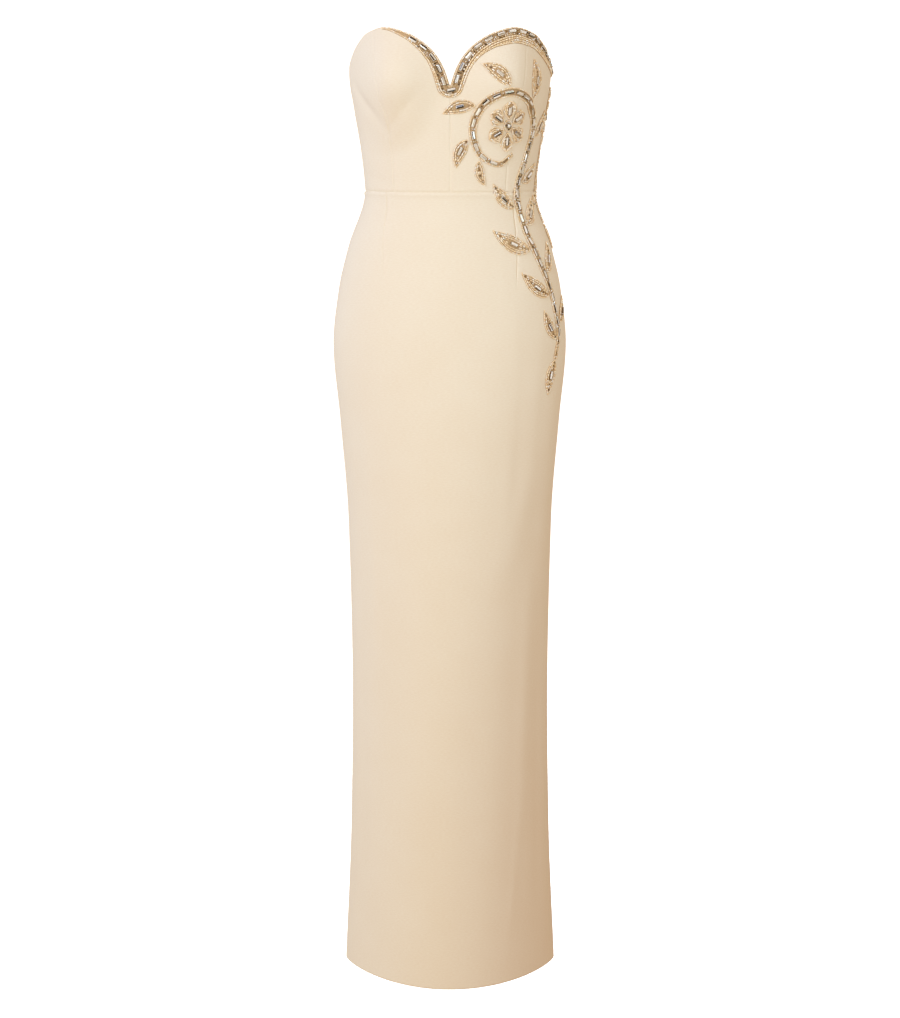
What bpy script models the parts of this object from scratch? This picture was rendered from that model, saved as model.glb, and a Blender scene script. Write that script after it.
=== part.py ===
"""A strapless bustier gown in cream crepe: a cupped bodice cut with a centre front seam and princess
seams, a column skirt with front darts, a concealed back zip, and a beaded spray of leaves sewn on
one side. The hollow is filled out as if worn. Sizes are in millimetres here and metres in the model.

The frame: the origin is the middle of the hollow at the waist seam, +Z is up and the front faces -Y.
A place on the cloth is given by its turn round the figure, in degrees from the centre front towards
the wearer's left, which is +X, and by its height above the waist seam.
"""

import math
from collections import namedtuple

import bmesh
import bpy
from mathutils import Matrix, Vector

MM = 0.001

# Driving sizes
BODICE_WALL = 2.0
SKIRT_WALL = 1.5
SEAM_GAP = 0.3
HEM_HEIGHT = -1163.0
SLIT_TOP_HEIGHT = -740.0
SLIT_HEM_GAP = 7.0

# The figure's level sections. half_width is half the width from side to side, front and back are the
# depths from the middle. A fold of 1 is a half ellipse, and more draws it to a fold at the side seam.
Section = namedtuple("Section", "height half_width front back front_fold back_fold")
SECTIONS = [
    Section(235.0, 140.5, 106.0, 104.0, 1.00, 1.00),
    Section(165.0, 144.0, 110.0, 101.0, 1.00, 1.00),
    Section(110.0, 136.5, 106.0, 97.0, 1.00, 1.00),
    Section(55.0, 127.5, 99.0, 92.0, 1.00, 1.00),
    Section(0.0, 122.5, 95.0, 88.0, 1.00, 1.00),
    Section(-80.0, 146.5, 104.0, 109.0, 1.02, 1.02),
    Section(-140.0, 160.5, 112.0, 124.0, 1.04, 1.04),
    Section(-220.0, 169.0, 118.0, 135.0, 1.08, 1.06),
    Section(-330.0, 160.0, 121.0, 129.0, 1.14, 1.12),
    Section(-480.0, 149.5, 121.0, 119.0, 1.24, 1.22),
    Section(-720.0, 146.0, 121.0, 114.0, 1.38, 1.36),
    Section(-940.0, 149.5, 124.0, 116.0, 1.48, 1.46),
    Section(HEM_HEIGHT, 159.5, 130.0, 122.0, 1.56, 1.54),
]

# The sweetheart top edge, from the dip at the centre front over the cup and down to the back
EdgePoint = namedtuple("EdgePoint", "turn height")
NECKLINE = [
    EdgePoint(0.0, 147.0),
    EdgePoint(3.0, 169.0),
    EdgePoint(8.0, 190.0),
    EdgePoint(15.0, 206.0),
    EdgePoint(25.0, 219.0),
    EdgePoint(40.0, 227.0),
    EdgePoint(55.0, 220.0),
    EdgePoint(68.0, 203.0),
    EdgePoint(80.0, 184.0),
    EdgePoint(90.0, 172.0),
    EdgePoint(115.0, 157.0),
    EdgePoint(145.0, 146.0),
    EdgePoint(180.0, 141.0),
]

# The princess seam, from the waist up over the outer side of the cup
SeamPoint = namedtuple("SeamPoint", "height turn")
PRINCESS = [
    SeamPoint(0.0, 40.4),
    SeamPoint(50.0, 39.9),
    SeamPoint(88.0, 40.9),
    SeamPoint(130.0, 45.0),
    SeamPoint(170.0, 46.8),
    SeamPoint(230.0, 49.4),
]

# Each cup stands out from the chest, falling to nothing at these reaches from its fullest point
CUP_ACROSS = 90.0
CUP_HEIGHT = 152.0
CUP_DEPTH = 30.0
CUP_REACH_IN = 82.0
CUP_REACH_OUT = 52.0
CUP_REACH_UP = 107.0
CUP_REACH_DOWN = 106.0

# Beadwork, sewn on the wearer's left. A place on it is (girth, height), where girth is the turn in
# radians times this radius, so that the beadwork can be laid out as if flat.
CHART_RADIUS = 130.0
BEAD_LIFT = 0.75
BEAD_EDGE = 2.0
BEAD_CROWN = 3.6
BEAD_SPACE = 0.9
EDGE_MARGIN = 1.0
NEAR_DIP = 1.2

# The band along the neckline, from the top of the right cup to just past the left side seam
BandPoint = namedtuple("BandPoint", "turn width")
BAND = [
    BandPoint(-42.0, 2.5),
    BandPoint(-28.0, 7.0),
    BandPoint(-10.0, 13.0),
    BandPoint(0.0, 16.0),
    BandPoint(15.0, 18.0),
    BandPoint(40.0, 22.0),
    BandPoint(70.0, 18.0),
    BandPoint(100.0, 5.0),
]

# The main stem rises from the hip, crosses the waist and scrolls round over the cup to a blossom. The
# side stem runs down the side seam from the band.
StemPoint = namedtuple("StemPoint", "girth height width")
MAIN_STEM = [
    StemPoint(143.0, -238.0, 7.0),
    StemPoint(152.0, -198.0, 9.0),
    StemPoint(146.0, -150.0, 11.0),
    StemPoint(130.0, -100.0, 12.5),
    StemPoint(115.0, -50.0, 13.5),
    StemPoint(114.0, 0.0, 14.0),
    StemPoint(128.0, 42.0, 14.0),
    StemPoint(140.0, 84.0, 14.0),
    StemPoint(124.0, 122.0, 13.5),
    StemPoint(86.0, 138.0, 13.0),
    StemPoint(47.0, 123.0, 12.5),
    StemPoint(31.0, 88.0, 11.5),
    StemPoint(43.0, 53.0, 10.0),
    StemPoint(74.0, 39.0, 8.5),
    StemPoint(98.0, 53.0, 6.0),
]
SIDE_STEM = [
    StemPoint(196.0, 146.0, 9.0),
    StemPoint(204.0, 110.0, 9.0),
    StemPoint(199.0, 70.0, 8.5),
    StemPoint(187.0, 32.0, 8.0),
    StemPoint(182.0, -8.0, 7.5),
    StemPoint(190.0, -46.0, 6.0),
]

# Leaves up each stem. along is the share of the stem's points, side is 1 on its right-hand side as it
# runs, lean is the angle from the stem and bow is how far the middle bends aside.
Leaf = namedtuple("Leaf", "along side length width lean bow")
MAIN_LEAVES = [
    Leaf(0.00, 1, 50.0, 20.0, 178.0, 3.0),
    Leaf(0.05, -1, 46.0, 19.0, 38.0, 3.0),
    Leaf(0.09, 1, 44.0, 18.0, 42.0, 3.0),
    Leaf(0.15, -1, 56.0, 23.0, 40.0, 4.0),
    Leaf(0.19, 1, 46.0, 20.0, 44.0, 3.0),
    Leaf(0.245, -1, 62.0, 26.0, 42.0, 5.0),
    Leaf(0.29, 1, 48.0, 21.0, 42.0, 3.0),
    Leaf(0.325, -1, 50.0, 22.0, 48.0, 4.0),
    Leaf(0.385, 1, 46.0, 20.0, 36.0, 3.0),
    Leaf(0.49, 1, 46.0, 19.0, 30.0, 3.0),
    Leaf(0.575, 1, 54.0, 23.0, 42.0, 4.0),
    Leaf(0.65, 1, 50.0, 21.0, 42.0, 4.0),
    Leaf(0.735, 1, 44.0, 19.0, 42.0, 4.0),
    Leaf(0.81, 1, 42.0, 18.0, 38.0, 4.0),
    Leaf(0.87, 1, 36.0, 16.0, 36.0, 4.0),
]
SIDE_LEAVES = [
    Leaf(0.12, -1, 36.0, 15.0, 42.0, 3.0),
    Leaf(0.22, 1, 32.0, 13.0, 38.0, 2.0),
    Leaf(0.40, -1, 36.0, 15.0, 42.0, 3.0),
    Leaf(0.66, -1, 34.0, 14.0, 42.0, 3.0),
    Leaf(0.78, 1, 28.0, 12.0, 38.0, 2.0),
    Leaf(1.00, 1, 36.0, 14.0, 0.0, 2.0),
]

# The blossom in the scroll: petals round a domed centre
BLOSSOM_GIRTH = 86.0
BLOSSOM_HEIGHT = 91.0
BLOSSOM_PETALS = 6
BLOSSOM_CENTRE_RADIUS = 8.0
BLOSSOM_PETAL_REACH = 34.0
BLOSSOM_PETAL_WIDTH = 24.0
BLOSSOM_SHOULDER = 3.2

# Leaves and petals are pointed ovals, fullest at these shares of their length. A leaf beside its stem
# keeps a little more space than one at the stem's end, because its base slants.
LEAF_FULLEST = 0.44
LEAF_END_WIDTH = 1.0
LEAF_SIDE_SPACE = BEAD_SPACE + 1.5
LEAF_END_SPACE = BEAD_SPACE + 0.5
PETAL_FULLEST = 0.60
PETAL_END_WIDTH = 3.0
OVAL_ROUNDNESS = 0.9

# The concealed zip in the centre back seam: a tape inside, and a slider outside at the top. The
# slider's arch holds the pull tab, which turns on it about an axis from side to side.
ZIP_TAPE_WIDTH = 24.0
ZIP_TAPE_WALL = 0.8
ZIP_TAPE_CLEARANCE = 0.8
ZIP_TAPE_TOP = 138.0
ZIP_TAPE_BOTTOM = -180.0
SLIDER_HEIGHT = 128.0
SLIDER_SIZE = (5.0, 2.0, 9.0)
SLIDER_BEVEL = 0.4
ARCH_WIDTH = 1.2
ARCH_BAR = 0.8
ARCH_OPENING = (2.0, 2.4)
ARCH_SUNK = 0.2
PULL_WIDTH = 4.4
PULL_LENGTH = 18.0
PULL_TAPER = 0.42
PULL_WALL = 1.0
PULL_HOLE_WIDTH = 2.0
PULL_HOLE = (0.5, 3.4)

CREPE = ("crepe", (0.87, 0.75, 0.58, 1.0), 0.85, 0.0)
BEADWORK = ("beadwork", (0.62, 0.44, 0.24, 1.0), 0.35, 0.3)
ZIP_TAPE = ("zip_tape", (0.80, 0.70, 0.55, 1.0), 0.8, 0.0)
ZIP_METAL = ("zip_metal", (0.70, 0.60, 0.42, 1.0), 0.35, 0.9)


def smooth_value(keys, values, at):
    """A curve through (keys, values) that never overshoots them; keys rise."""
    if at <= keys[0]:
        return values[0]
    if at >= keys[-1]:
        return values[-1]
    spans = [b - a for a, b in zip(keys, keys[1:])]
    slopes = [(b - a) / span for a, b, span in zip(values, values[1:], spans)]
    i = max(n for n in range(len(spans)) if keys[n] <= at)

    def tangent(n):
        if n == 0:
            return slopes[0]
        if n == len(spans):
            return slopes[-1]
        before, after = slopes[n - 1], slopes[n]
        if before * after <= 0.0:
            return 0.0
        near = 2 * spans[n] + spans[n - 1]
        far = spans[n] + 2 * spans[n - 1]
        return (near + far) / (near / before + far / after)

    s = (at - keys[i]) / spans[i]
    rise = values[i] * (1 + 2 * s) * (1 - s) ** 2 + values[i + 1] * s * s * (3 - 2 * s)
    bend = tangent(i) * s * (1 - s) ** 2 - tangent(i + 1) * s * s * (1 - s)
    return rise + bend * spans[i]


def section_at(height):
    """The figure's section at this height."""
    rows = SECTIONS[::-1]
    keys = [row.height for row in rows]
    columns = [[getattr(row, name) for row in rows] for name in Section._fields[1:]]
    return Section(height, *(smooth_value(keys, column, height) for column in columns))


def neckline(turn):
    """The height of the top edge at this turn, the same on both sides."""
    return smooth_value([p.turn for p in NECKLINE], [p.height for p in NECKLINE], abs(turn))


def princess(height):
    """The turn of the princess seam at this height."""
    return smooth_value([p.height for p in PRINCESS], [p.turn for p in PRINCESS], height)


def cup_depth(across, height):
    """How far a cup stands out from the chest here."""
    out = abs(across) - CUP_ACROSS
    up = height - CUP_HEIGHT
    reach_across = CUP_REACH_OUT if out > 0 else CUP_REACH_IN
    reach_up = CUP_REACH_UP if up > 0 else CUP_REACH_DOWN
    r = math.hypot(out / reach_across, up / reach_up)
    return CUP_DEPTH * (1.0 - r * r) ** 2 if r < 1.0 else 0.0


def cloth_point(turn, height, inset=0.0):
    """A point of the cloth's outer face, or of the face inset by a wall, in millimetres."""
    row = section_at(height)
    angle = math.radians(turn)
    across = (row.half_width - inset) * math.sin(angle)
    narrow = abs(math.cos(angle))
    if abs(turn) <= 90.0:
        outwards = row.half_width * math.sin(angle)
        depth = -(row.front - inset) * narrow**row.front_fold - cup_depth(outwards, height)
    else:
        depth = (row.back - inset) * narrow**row.back_fold
    return Vector((across, depth, height))


def outward(turn, height):
    """The outward direction square to the cloth."""
    step_turn, step_height = 0.5, 1.0
    along = cloth_point(turn + step_turn, height) - cloth_point(turn - step_turn, height)
    up = cloth_point(turn, height + step_height) - cloth_point(turn, height - step_height)
    return along.cross(up).normalized()


def turn_for(distance, turn, height):
    """The turn that covers this distance along the cloth."""
    step = 0.5
    span = (cloth_point(turn + step, height) - cloth_point(turn - step, height)).length
    return distance * 2 * step / span


def centre_front(side):
    """The edge of a panel that ends at the centre front seam."""
    return lambda height: side * turn_for(SEAM_GAP / 2, 0.0, height)


def princess_edge(side, away):
    """The edge of a panel beside the princess seam; away is 1 on its outer side and -1 on its inner."""

    def edge(height):
        turn = princess(height)
        return side * (turn + away * turn_for(SEAM_GAP / 2, turn, height))

    return edge


def side_edge(side, face):
    """The edge of a panel at the side seam; face is -1 for a front panel and 1 for a back one."""

    def edge(height):
        row = section_at(height)
        depth, fold = (row.front, row.front_fold) if face < 0 else (row.back, row.back_fold)
        back_off = math.degrees(math.asin((SEAM_GAP / 2 / depth) ** (1 / fold)))
        return side * (90.0 + face * back_off)

    return edge


def centre_back(side):
    """The edge of a panel at the centre back seam, which parts a little down the walking slit."""

    def edge(height):
        down = max(0.0, (SLIT_TOP_HEIGHT - height) / (SLIT_TOP_HEIGHT - HEM_HEIGHT))
        gap = SEAM_GAP + (SLIT_HEM_GAP - SEAM_GAP) * down * down
        return side * (180.0 - math.degrees(math.asin(gap / 2 / section_at(height).half_width)))

    return edge


def material(name, colour, roughness, metallic):
    made = bpy.data.materials.get(name) or bpy.data.materials.new(name)
    made.use_nodes = True
    shader = made.node_tree.nodes["Principled BSDF"]
    shader.inputs["Base Color"].default_value = colour
    shader.inputs["Roughness"].default_value = roughness
    shader.inputs["Metallic"].default_value = metallic
    return made


def new_object(name, mesh, finish):
    made = bpy.data.objects.new(name, mesh)
    bpy.context.scene.collection.objects.link(made)
    mesh.materials.append(material(*finish))
    mesh.shade_smooth()
    mesh.set_sharp_from_angle(angle=math.radians(35))
    return made


def closed_sheet(name, outer, inner, finish):
    """A closed thin solid between two grids of points of the same size, given as rows."""
    shape = bmesh.new()
    top, under = ([[shape.verts.new(p * MM) for p in row] for row in grid] for grid in (outer, inner))
    rows, columns = len(top), len(top[0])
    for i in range(rows - 1):
        for j in range(columns - 1):
            shape.faces.new((top[i][j], top[i][j + 1], top[i + 1][j + 1], top[i + 1][j]))
            shape.faces.new((under[i][j], under[i + 1][j], under[i + 1][j + 1], under[i][j + 1]))
    rim = [(0, j) for j in range(columns)] + [(i, columns - 1) for i in range(1, rows)]
    rim += [(rows - 1, j) for j in range(columns - 2, -1, -1)] + [(i, 0) for i in range(rows - 2, 0, -1)]
    for (i, j), (k, m) in zip(rim, rim[1:] + rim[:1]):
        shape.faces.new((top[i][j], under[i][j], under[k][m], top[k][m]))
    bmesh.ops.recalc_face_normals(shape, faces=shape.faces)
    mesh = bpy.data.meshes.new(name)
    shape.to_mesh(mesh)
    shape.free()
    return new_object(name, mesh, finish)


def even(count):
    """Even shares from 0 to 1."""
    return [n / count for n in range(count + 1)]


def crowded(count, power):
    """Shares from 0 to 1 that lie closest together near 0."""
    return [share**power for share in even(count)]


def panel(name, start, end, bottom, top, across, up, wall):
    """A cut piece of cloth between two edges, given as turns by height, and a bottom and top edge.
    across and up are the shares along it where its points lie."""
    outer, inner = [], []
    for v in up:
        outer_row, inner_row = [], []
        for u in across:
            height = bottom
            for _ in range(12):
                turn = start(height) + (end(height) - start(height)) * u
                height = bottom + (top(turn) - bottom) * v
            outer_row.append(cloth_point(turn, height))
            inner_row.append(cloth_point(turn, height, wall))
        outer.append(outer_row)
        inner.append(inner_row)
    return closed_sheet(name, outer, inner, CREPE)


def make_bodice():
    """Four front panels and two back panels, all ending just above the waist seam."""
    waist = SEAM_GAP / 2
    near_dip = crowded(13, 1.45)
    up = even(26)
    for side, hand in ((-1, "right"), (1, "left")):
        panel(
            f"bodice_front_centre_{hand}", centre_front(side), princess_edge(side, -1),
            waist, neckline, near_dip, up, BODICE_WALL,
        )
        panel(
            f"bodice_front_side_{hand}", princess_edge(side, 1), side_edge(side, -1),
            waist, neckline, even(8), up, BODICE_WALL,
        )
        panel(
            f"bodice_back_{hand}", side_edge(side, 1), centre_back(side),
            waist, neckline, even(10), even(8), BODICE_WALL,
        )


def make_skirt():
    """One front panel and two back panels, hanging from the waist seam."""
    top = -SEAM_GAP / 2
    # The rows are closest just below the waist, where the skirt curves out over the hips
    up = [1.0 - share for share in reversed(crowded(26, 1.9))]

    def waist(turn):
        return top

    panel(
        "skirt_front", side_edge(-1, -1), side_edge(1, -1),
        HEM_HEIGHT, waist, even(20), up, SKIRT_WALL,
    )
    for side, hand in ((-1, "right"), (1, "left")):
        panel(
            f"skirt_back_{hand}", side_edge(side, 1), centre_back(side),
            HEM_HEIGHT, waist, even(10), up, SKIRT_WALL,
        )


def bead_point(girth, height, lift):
    """A point this far out from the cloth's outer face, at a place on the beadwork."""
    turn = math.degrees(girth / CHART_RADIUS)
    return cloth_point(turn, height) + outward(turn, height) * lift


def raised_form(name, stations):
    """A thin crowned solid lying on the cloth. Each station is a row of (girth, height) places."""
    last = len(stations[0]) - 1
    crowned, base = [], []
    for row in stations:
        crown = BEAD_CROWN - BEAD_EDGE
        lifts = [BEAD_EDGE + crown * math.sin(math.pi * j / last) for j in range(last + 1)]
        crowned.append([bead_point(g, h, lift) for (g, h), lift in zip(row, lifts)])
        base.append([bead_point(g, h, BEAD_LIFT) for g, h in row])
    return closed_sheet(name, crowned, base, BEADWORK)


def make_neck_band():
    """The beaded band. It follows the top edge, and turns round the dip on a fan of stations."""
    turns = [p.turn for p in BAND]
    widths = [p.width for p in BAND]

    def edge_place(turn):
        return Vector((math.radians(turn) * CHART_RADIUS, neckline(turn)))

    def inwards(turn):
        run = edge_place(turn + 0.2) - edge_place(turn - 0.2)
        return Vector((run.y, -run.x)).normalized()

    def beside_dip(end, count):
        start = math.copysign(NEAR_DIP, end)
        return [start + (end - start) * share for share in crowded(count, 1.5)]

    left = beside_dip(turns[0], 10)[::-1]
    right = beside_dip(turns[-1], 22)
    first, last = inwards(left[-1]), inwards(right[0])
    swing = first.angle_signed(last)
    fan = 8
    places = [(edge_place(t), inwards(t), t) for t in left]
    for i in range(1, fan):
        direction = first.copy()
        direction.rotate(Matrix.Rotation(-swing * i / fan, 2))
        places.append((edge_place(0.0), direction, 0.0))
    places += [(edge_place(t), inwards(t), t) for t in right]
    stations = []
    for place, direction, turn in places:
        width = smooth_value(turns, widths, turn)
        shares = (0.0, 0.33, 0.67, 1.0)
        stations.append([tuple(place + direction * (EDGE_MARGIN + width * s)) for s in shares])
    raised_form("beaded_neck_band", stations)


def stem_at(stem, share):
    """(place, direction, width) on a stem, at this share along its points."""
    keys = even(len(stem) - 1)
    girths, heights, widths = ([getattr(p, name) for p in stem] for name in StemPoint._fields)

    def place(at):
        return Vector((smooth_value(keys, girths, at), smooth_value(keys, heights, at)))

    ahead = place(min(1.0, share + 0.01)) - place(max(0.0, share - 0.01))
    return place(share), ahead.normalized(), smooth_value(keys, widths, share)


def stem_stations(stem):
    """Three places across the stem, every few millimetres down it."""
    stations = []
    for share in even(4 * (len(stem) - 1)):
        place, ahead, width = stem_at(stem, share)
        aside = Vector((-ahead.y, ahead.x)) * (width / 2)
        stations.append([tuple(place - aside), tuple(place), tuple(place + aside)])
    return stations


def oval_stations(base, direction, aside, length, width, bow, fullest, end_width):
    """Three places across a pointed oval, from its base to its tip. fullest is the share of its length
    where it is widest."""
    skew = math.log(0.5) / math.log(fullest)
    stations = []
    for s in even(8):
        spine = base + direction * (length * s) + aside * (bow * math.sin(math.pi * s))
        half = (end_width + (width - end_width) * math.sin(math.pi * s**skew) ** OVAL_ROUNDNESS) / 2
        stations.append([tuple(spine + aside * (half * k)) for k in (-1.0, 0.0, 1.0)])
    return stations


def leaf_stations(stem, leaf):
    """Places across a leaf, whose base is just clear of the stem."""
    place, ahead, width = stem_at(stem, leaf.along)
    across = Vector((ahead.y, -ahead.x)) * leaf.side
    lean = math.radians(leaf.lean)
    direction = ahead * math.cos(lean) + across * math.sin(lean)
    aside = across * math.cos(lean) - ahead * math.sin(lean)
    if 0.0 < leaf.along < 1.0:
        base = place + across * (width / 2 + LEAF_SIDE_SPACE)
    else:
        base = place + direction * LEAF_END_SPACE
    return oval_stations(
        base, direction, aside, leaf.length, leaf.width, leaf.bow, LEAF_FULLEST, LEAF_END_WIDTH
    )


def petal_stations(number):
    """Places across a petal of the blossom."""
    angle = 2 * math.pi * (number + 0.5) / BLOSSOM_PETALS
    direction = Vector((math.cos(angle), math.sin(angle)))
    aside = Vector((-direction.y, direction.x))
    base = Vector((BLOSSOM_GIRTH, BLOSSOM_HEIGHT)) + direction * (BLOSSOM_CENTRE_RADIUS + BEAD_SPACE)
    length = BLOSSOM_PETAL_REACH - BLOSSOM_CENTRE_RADIUS - BEAD_SPACE
    return oval_stations(
        base, direction, aside, length, BLOSSOM_PETAL_WIDTH, 0.0, PETAL_FULLEST, PETAL_END_WIDTH
    )


def make_blossom_centre():
    """A round dome on the cloth, from rings of points: its base, its rim and its crown."""
    spokes = 16
    base = [(share, BEAD_LIFT) for share in (0.15, 0.6, 1.0)]
    rings = base + [(1.0, BEAD_EDGE), (0.6, BLOSSOM_SHOULDER), (0.15, BEAD_CROWN)]
    shape = bmesh.new()
    rows = []
    for share, lift in rings:
        row = []
        for n in range(spokes):
            angle = 2 * math.pi * n / spokes
            girth = BLOSSOM_GIRTH + math.cos(angle) * BLOSSOM_CENTRE_RADIUS * share
            height = BLOSSOM_HEIGHT + math.sin(angle) * BLOSSOM_CENTRE_RADIUS * share
            row.append(shape.verts.new(bead_point(girth, height, lift) * MM))
        rows.append(row)
    for low, high in zip(rows, rows[1:]):
        for n in range(spokes):
            shape.faces.new((low[n], low[n - 1], high[n - 1], high[n]))
    shape.faces.new(rows[0])
    shape.faces.new(rows[-1][::-1])
    bmesh.ops.recalc_face_normals(shape, faces=shape.faces)
    mesh = bpy.data.meshes.new("beaded_blossom_centre")
    shape.to_mesh(mesh)
    shape.free()
    new_object("beaded_blossom_centre", mesh, BEADWORK)


def make_beadwork():
    make_neck_band()
    for where, stem, leaves in (("main", MAIN_STEM, MAIN_LEAVES), ("side", SIDE_STEM, SIDE_LEAVES)):
        raised_form(f"beaded_{where}_stem", stem_stations(stem))
        for number, leaf in enumerate(leaves, 1):
            raised_form(f"beaded_{where}_leaf_{number:02d}", leaf_stations(stem, leaf))
    make_blossom_centre()
    for number in range(BLOSSOM_PETALS):
        raised_form(f"beaded_petal_{number + 1}", petal_stations(number))


def make_zip_tape():
    """The tape behind the centre back seam, just inside the panels."""
    inset = BODICE_WALL + ZIP_TAPE_CLEARANCE
    outer, inner = [], []
    for v in even(24):
        height = ZIP_TAPE_BOTTOM + (ZIP_TAPE_TOP - ZIP_TAPE_BOTTOM) * v
        reach = turn_for(ZIP_TAPE_WIDTH / 2, 180.0, height)
        turns = [180.0 - reach + 2 * reach * u for u in even(4)]
        outer.append([cloth_point(turn, height, inset) for turn in turns])
        inner.append([cloth_point(turn, height, inset + ZIP_TAPE_WALL) for turn in turns])
    closed_sheet("zip_tape", outer, inner, ZIP_TAPE)


def ring_plate(name, outer, hole, thickness, finish):
    """A flat plate with a hole, square to its own Z, from two outlines with as many points each."""
    shape = bmesh.new()
    loops = []
    for z in (-thickness / 2, thickness / 2):
        for outline in (outer, hole):
            loops.append([shape.verts.new(Vector((x, y, z)) * MM) for x, y in outline])
    under_edge, under_hole, top_edge, top_hole = loops
    walls = ((under_edge, under_hole), (under_hole, top_hole), (top_hole, top_edge), (top_edge, under_edge))
    for a, b in walls:
        for n in range(len(outer)):
            shape.faces.new((a[n - 1], a[n], b[n], b[n - 1]))
    bmesh.ops.recalc_face_normals(shape, faces=shape.faces)
    mesh = bpy.data.meshes.new(name)
    shape.to_mesh(mesh)
    shape.free()
    return new_object(name, mesh, finish)


def slider_place():
    """The slider's own frame: its origin on its back, Y out from the cloth and Z up along the seam."""
    out = outward(180.0, SLIDER_HEIGHT)
    side = Vector((1.0, 0.0, 0.0))
    seat = cloth_point(180.0, SLIDER_HEIGHT) + out * SEAM_GAP
    turned = Matrix((side, out, side.cross(out))).transposed()
    return Matrix.Translation(seat * MM) @ turned.to_4x4()


def pull_axis():
    """The middle of the opening in the slider's arch, which the pull tab turns about, in metres."""
    return slider_place() @ (Vector((0.0, SLIDER_SIZE[1] + ARCH_OPENING[0] / 2, 0.0)) * MM)


def make_slider():
    """The slider's body, with the arch joined on."""
    width, wall, tall = SLIDER_SIZE
    opening, clear = ARCH_OPENING
    near, far = wall - ARCH_SUNK, wall + opening
    hole = [(near, -clear / 2), (far, -clear / 2), (far, clear / 2), (near, clear / 2)]
    low, reach, rise = near - ARCH_SUNK, far + ARCH_BAR, clear / 2 + ARCH_BAR
    edge = [(low, -rise), (reach, -rise), (reach, rise), (low, rise)]
    arch = ring_plate("slider_arch", edge, hole, ARCH_WIDTH, ZIP_METAL)
    # The arch is drawn in Y and Z, so its own X, Y and Z become the slider's Y, Z and X
    side_view = Matrix(((0, 0, 1, 0), (1, 0, 0, 0), (0, 1, 0, 0), (0, 0, 0, 1)))
    arch.matrix_world = slider_place() @ side_view
    arch.hide_render = True
    arch.display_type = "WIRE"

    shape = bmesh.new()
    bmesh.ops.create_cube(shape, size=1.0)
    bmesh.ops.scale(shape, vec=Vector((width, wall, tall)) * MM, verts=shape.verts)
    bmesh.ops.translate(shape, vec=Vector((0.0, wall / 2, 0.0)) * MM, verts=shape.verts)
    bmesh.ops.bevel(
        shape, geom=shape.edges[:], offset=SLIDER_BEVEL * MM, segments=2, affect="EDGES", profile=0.5
    )
    mesh = bpy.data.meshes.new("zip_slider")
    shape.to_mesh(mesh)
    shape.free()
    slider = new_object("zip_slider", mesh, ZIP_METAL)
    slider.matrix_world = slider_place()
    joined = slider.modifiers.new("arch", "BOOLEAN")
    joined.operation = "UNION"
    joined.object = arch


def make_pull():
    """A drop-shaped tab that hangs from the arch, whose bar is the strip above its hole."""
    points = 24
    above, below = PULL_HOLE
    edge, hole = [], []
    for n in range(points):
        angle = 2 * math.pi * n / points
        across, up = math.cos(angle), math.sin(angle)
        drop = (1.0 + up) / 2
        half = PULL_WIDTH / 2 * (1.0 - PULL_TAPER * drop)
        edge.append((half * across, above - (PULL_LENGTH + above) * (1.0 - drop)))
        squared = [math.copysign(abs(c) ** 0.5, c) for c in (across, up)]
        down = -(above + below) / 2 + (below - above) / 2 * squared[1]
        hole.append((PULL_HOLE_WIDTH / 2 * squared[0], down))
    pull = ring_plate("zip_pull", edge, hole, PULL_WALL, ZIP_METAL)
    pull.location = pull_axis()
    pull.rotation_euler = (math.pi / 2, 0.0, 0.0)


def main():
    for old in list(bpy.data.objects):
        bpy.data.objects.remove(old, do_unlink=True)
    make_bodice()
    make_skirt()
    make_beadwork()
    make_zip_tape()
    make_slider()
    make_pull()


main()
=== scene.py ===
"""The look of a strapless bustier gown: cream double crepe in cut panels with fine seams, darts and soft
folds, a leafy scroll of sewn beads and crystals, a concealed zip, and a plain pale studio.

Sizes are in millimetres here and metres in the model. A place on the cloth is given by its turn round
the figure, in degrees from the centre front towards the wearer's left, and by its height above the
waist seam, as in the solids that these pieces stand for.
"""

import math
from collections import namedtuple

import bpy
import numpy as np
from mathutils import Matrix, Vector


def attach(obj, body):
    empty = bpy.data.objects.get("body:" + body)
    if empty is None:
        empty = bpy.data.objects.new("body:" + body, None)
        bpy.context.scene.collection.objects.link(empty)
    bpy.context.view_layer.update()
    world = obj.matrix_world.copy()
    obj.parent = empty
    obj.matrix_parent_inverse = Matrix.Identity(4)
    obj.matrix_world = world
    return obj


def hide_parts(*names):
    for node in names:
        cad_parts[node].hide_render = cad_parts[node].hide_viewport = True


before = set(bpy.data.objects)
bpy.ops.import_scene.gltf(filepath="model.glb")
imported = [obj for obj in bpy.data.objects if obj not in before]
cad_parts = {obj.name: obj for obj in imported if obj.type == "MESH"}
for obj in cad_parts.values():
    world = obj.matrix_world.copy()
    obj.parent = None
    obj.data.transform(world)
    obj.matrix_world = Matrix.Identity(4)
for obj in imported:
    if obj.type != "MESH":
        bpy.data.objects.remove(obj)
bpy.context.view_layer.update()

MM = 0.001
BODY = "gown"
CLOTH_MAP = "cloth"
RANDOM = np.random.default_rng(21)

# Driving sizes of the cloth
BODICE_WALL = 2.0
SKIRT_WALL = 1.5
SEAM_GAP = 0.02
HEM_HEIGHT = -1163.0
SLIT_TOP_HEIGHT = -740.0
SLIT_HEM_GAP = 7.0

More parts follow.
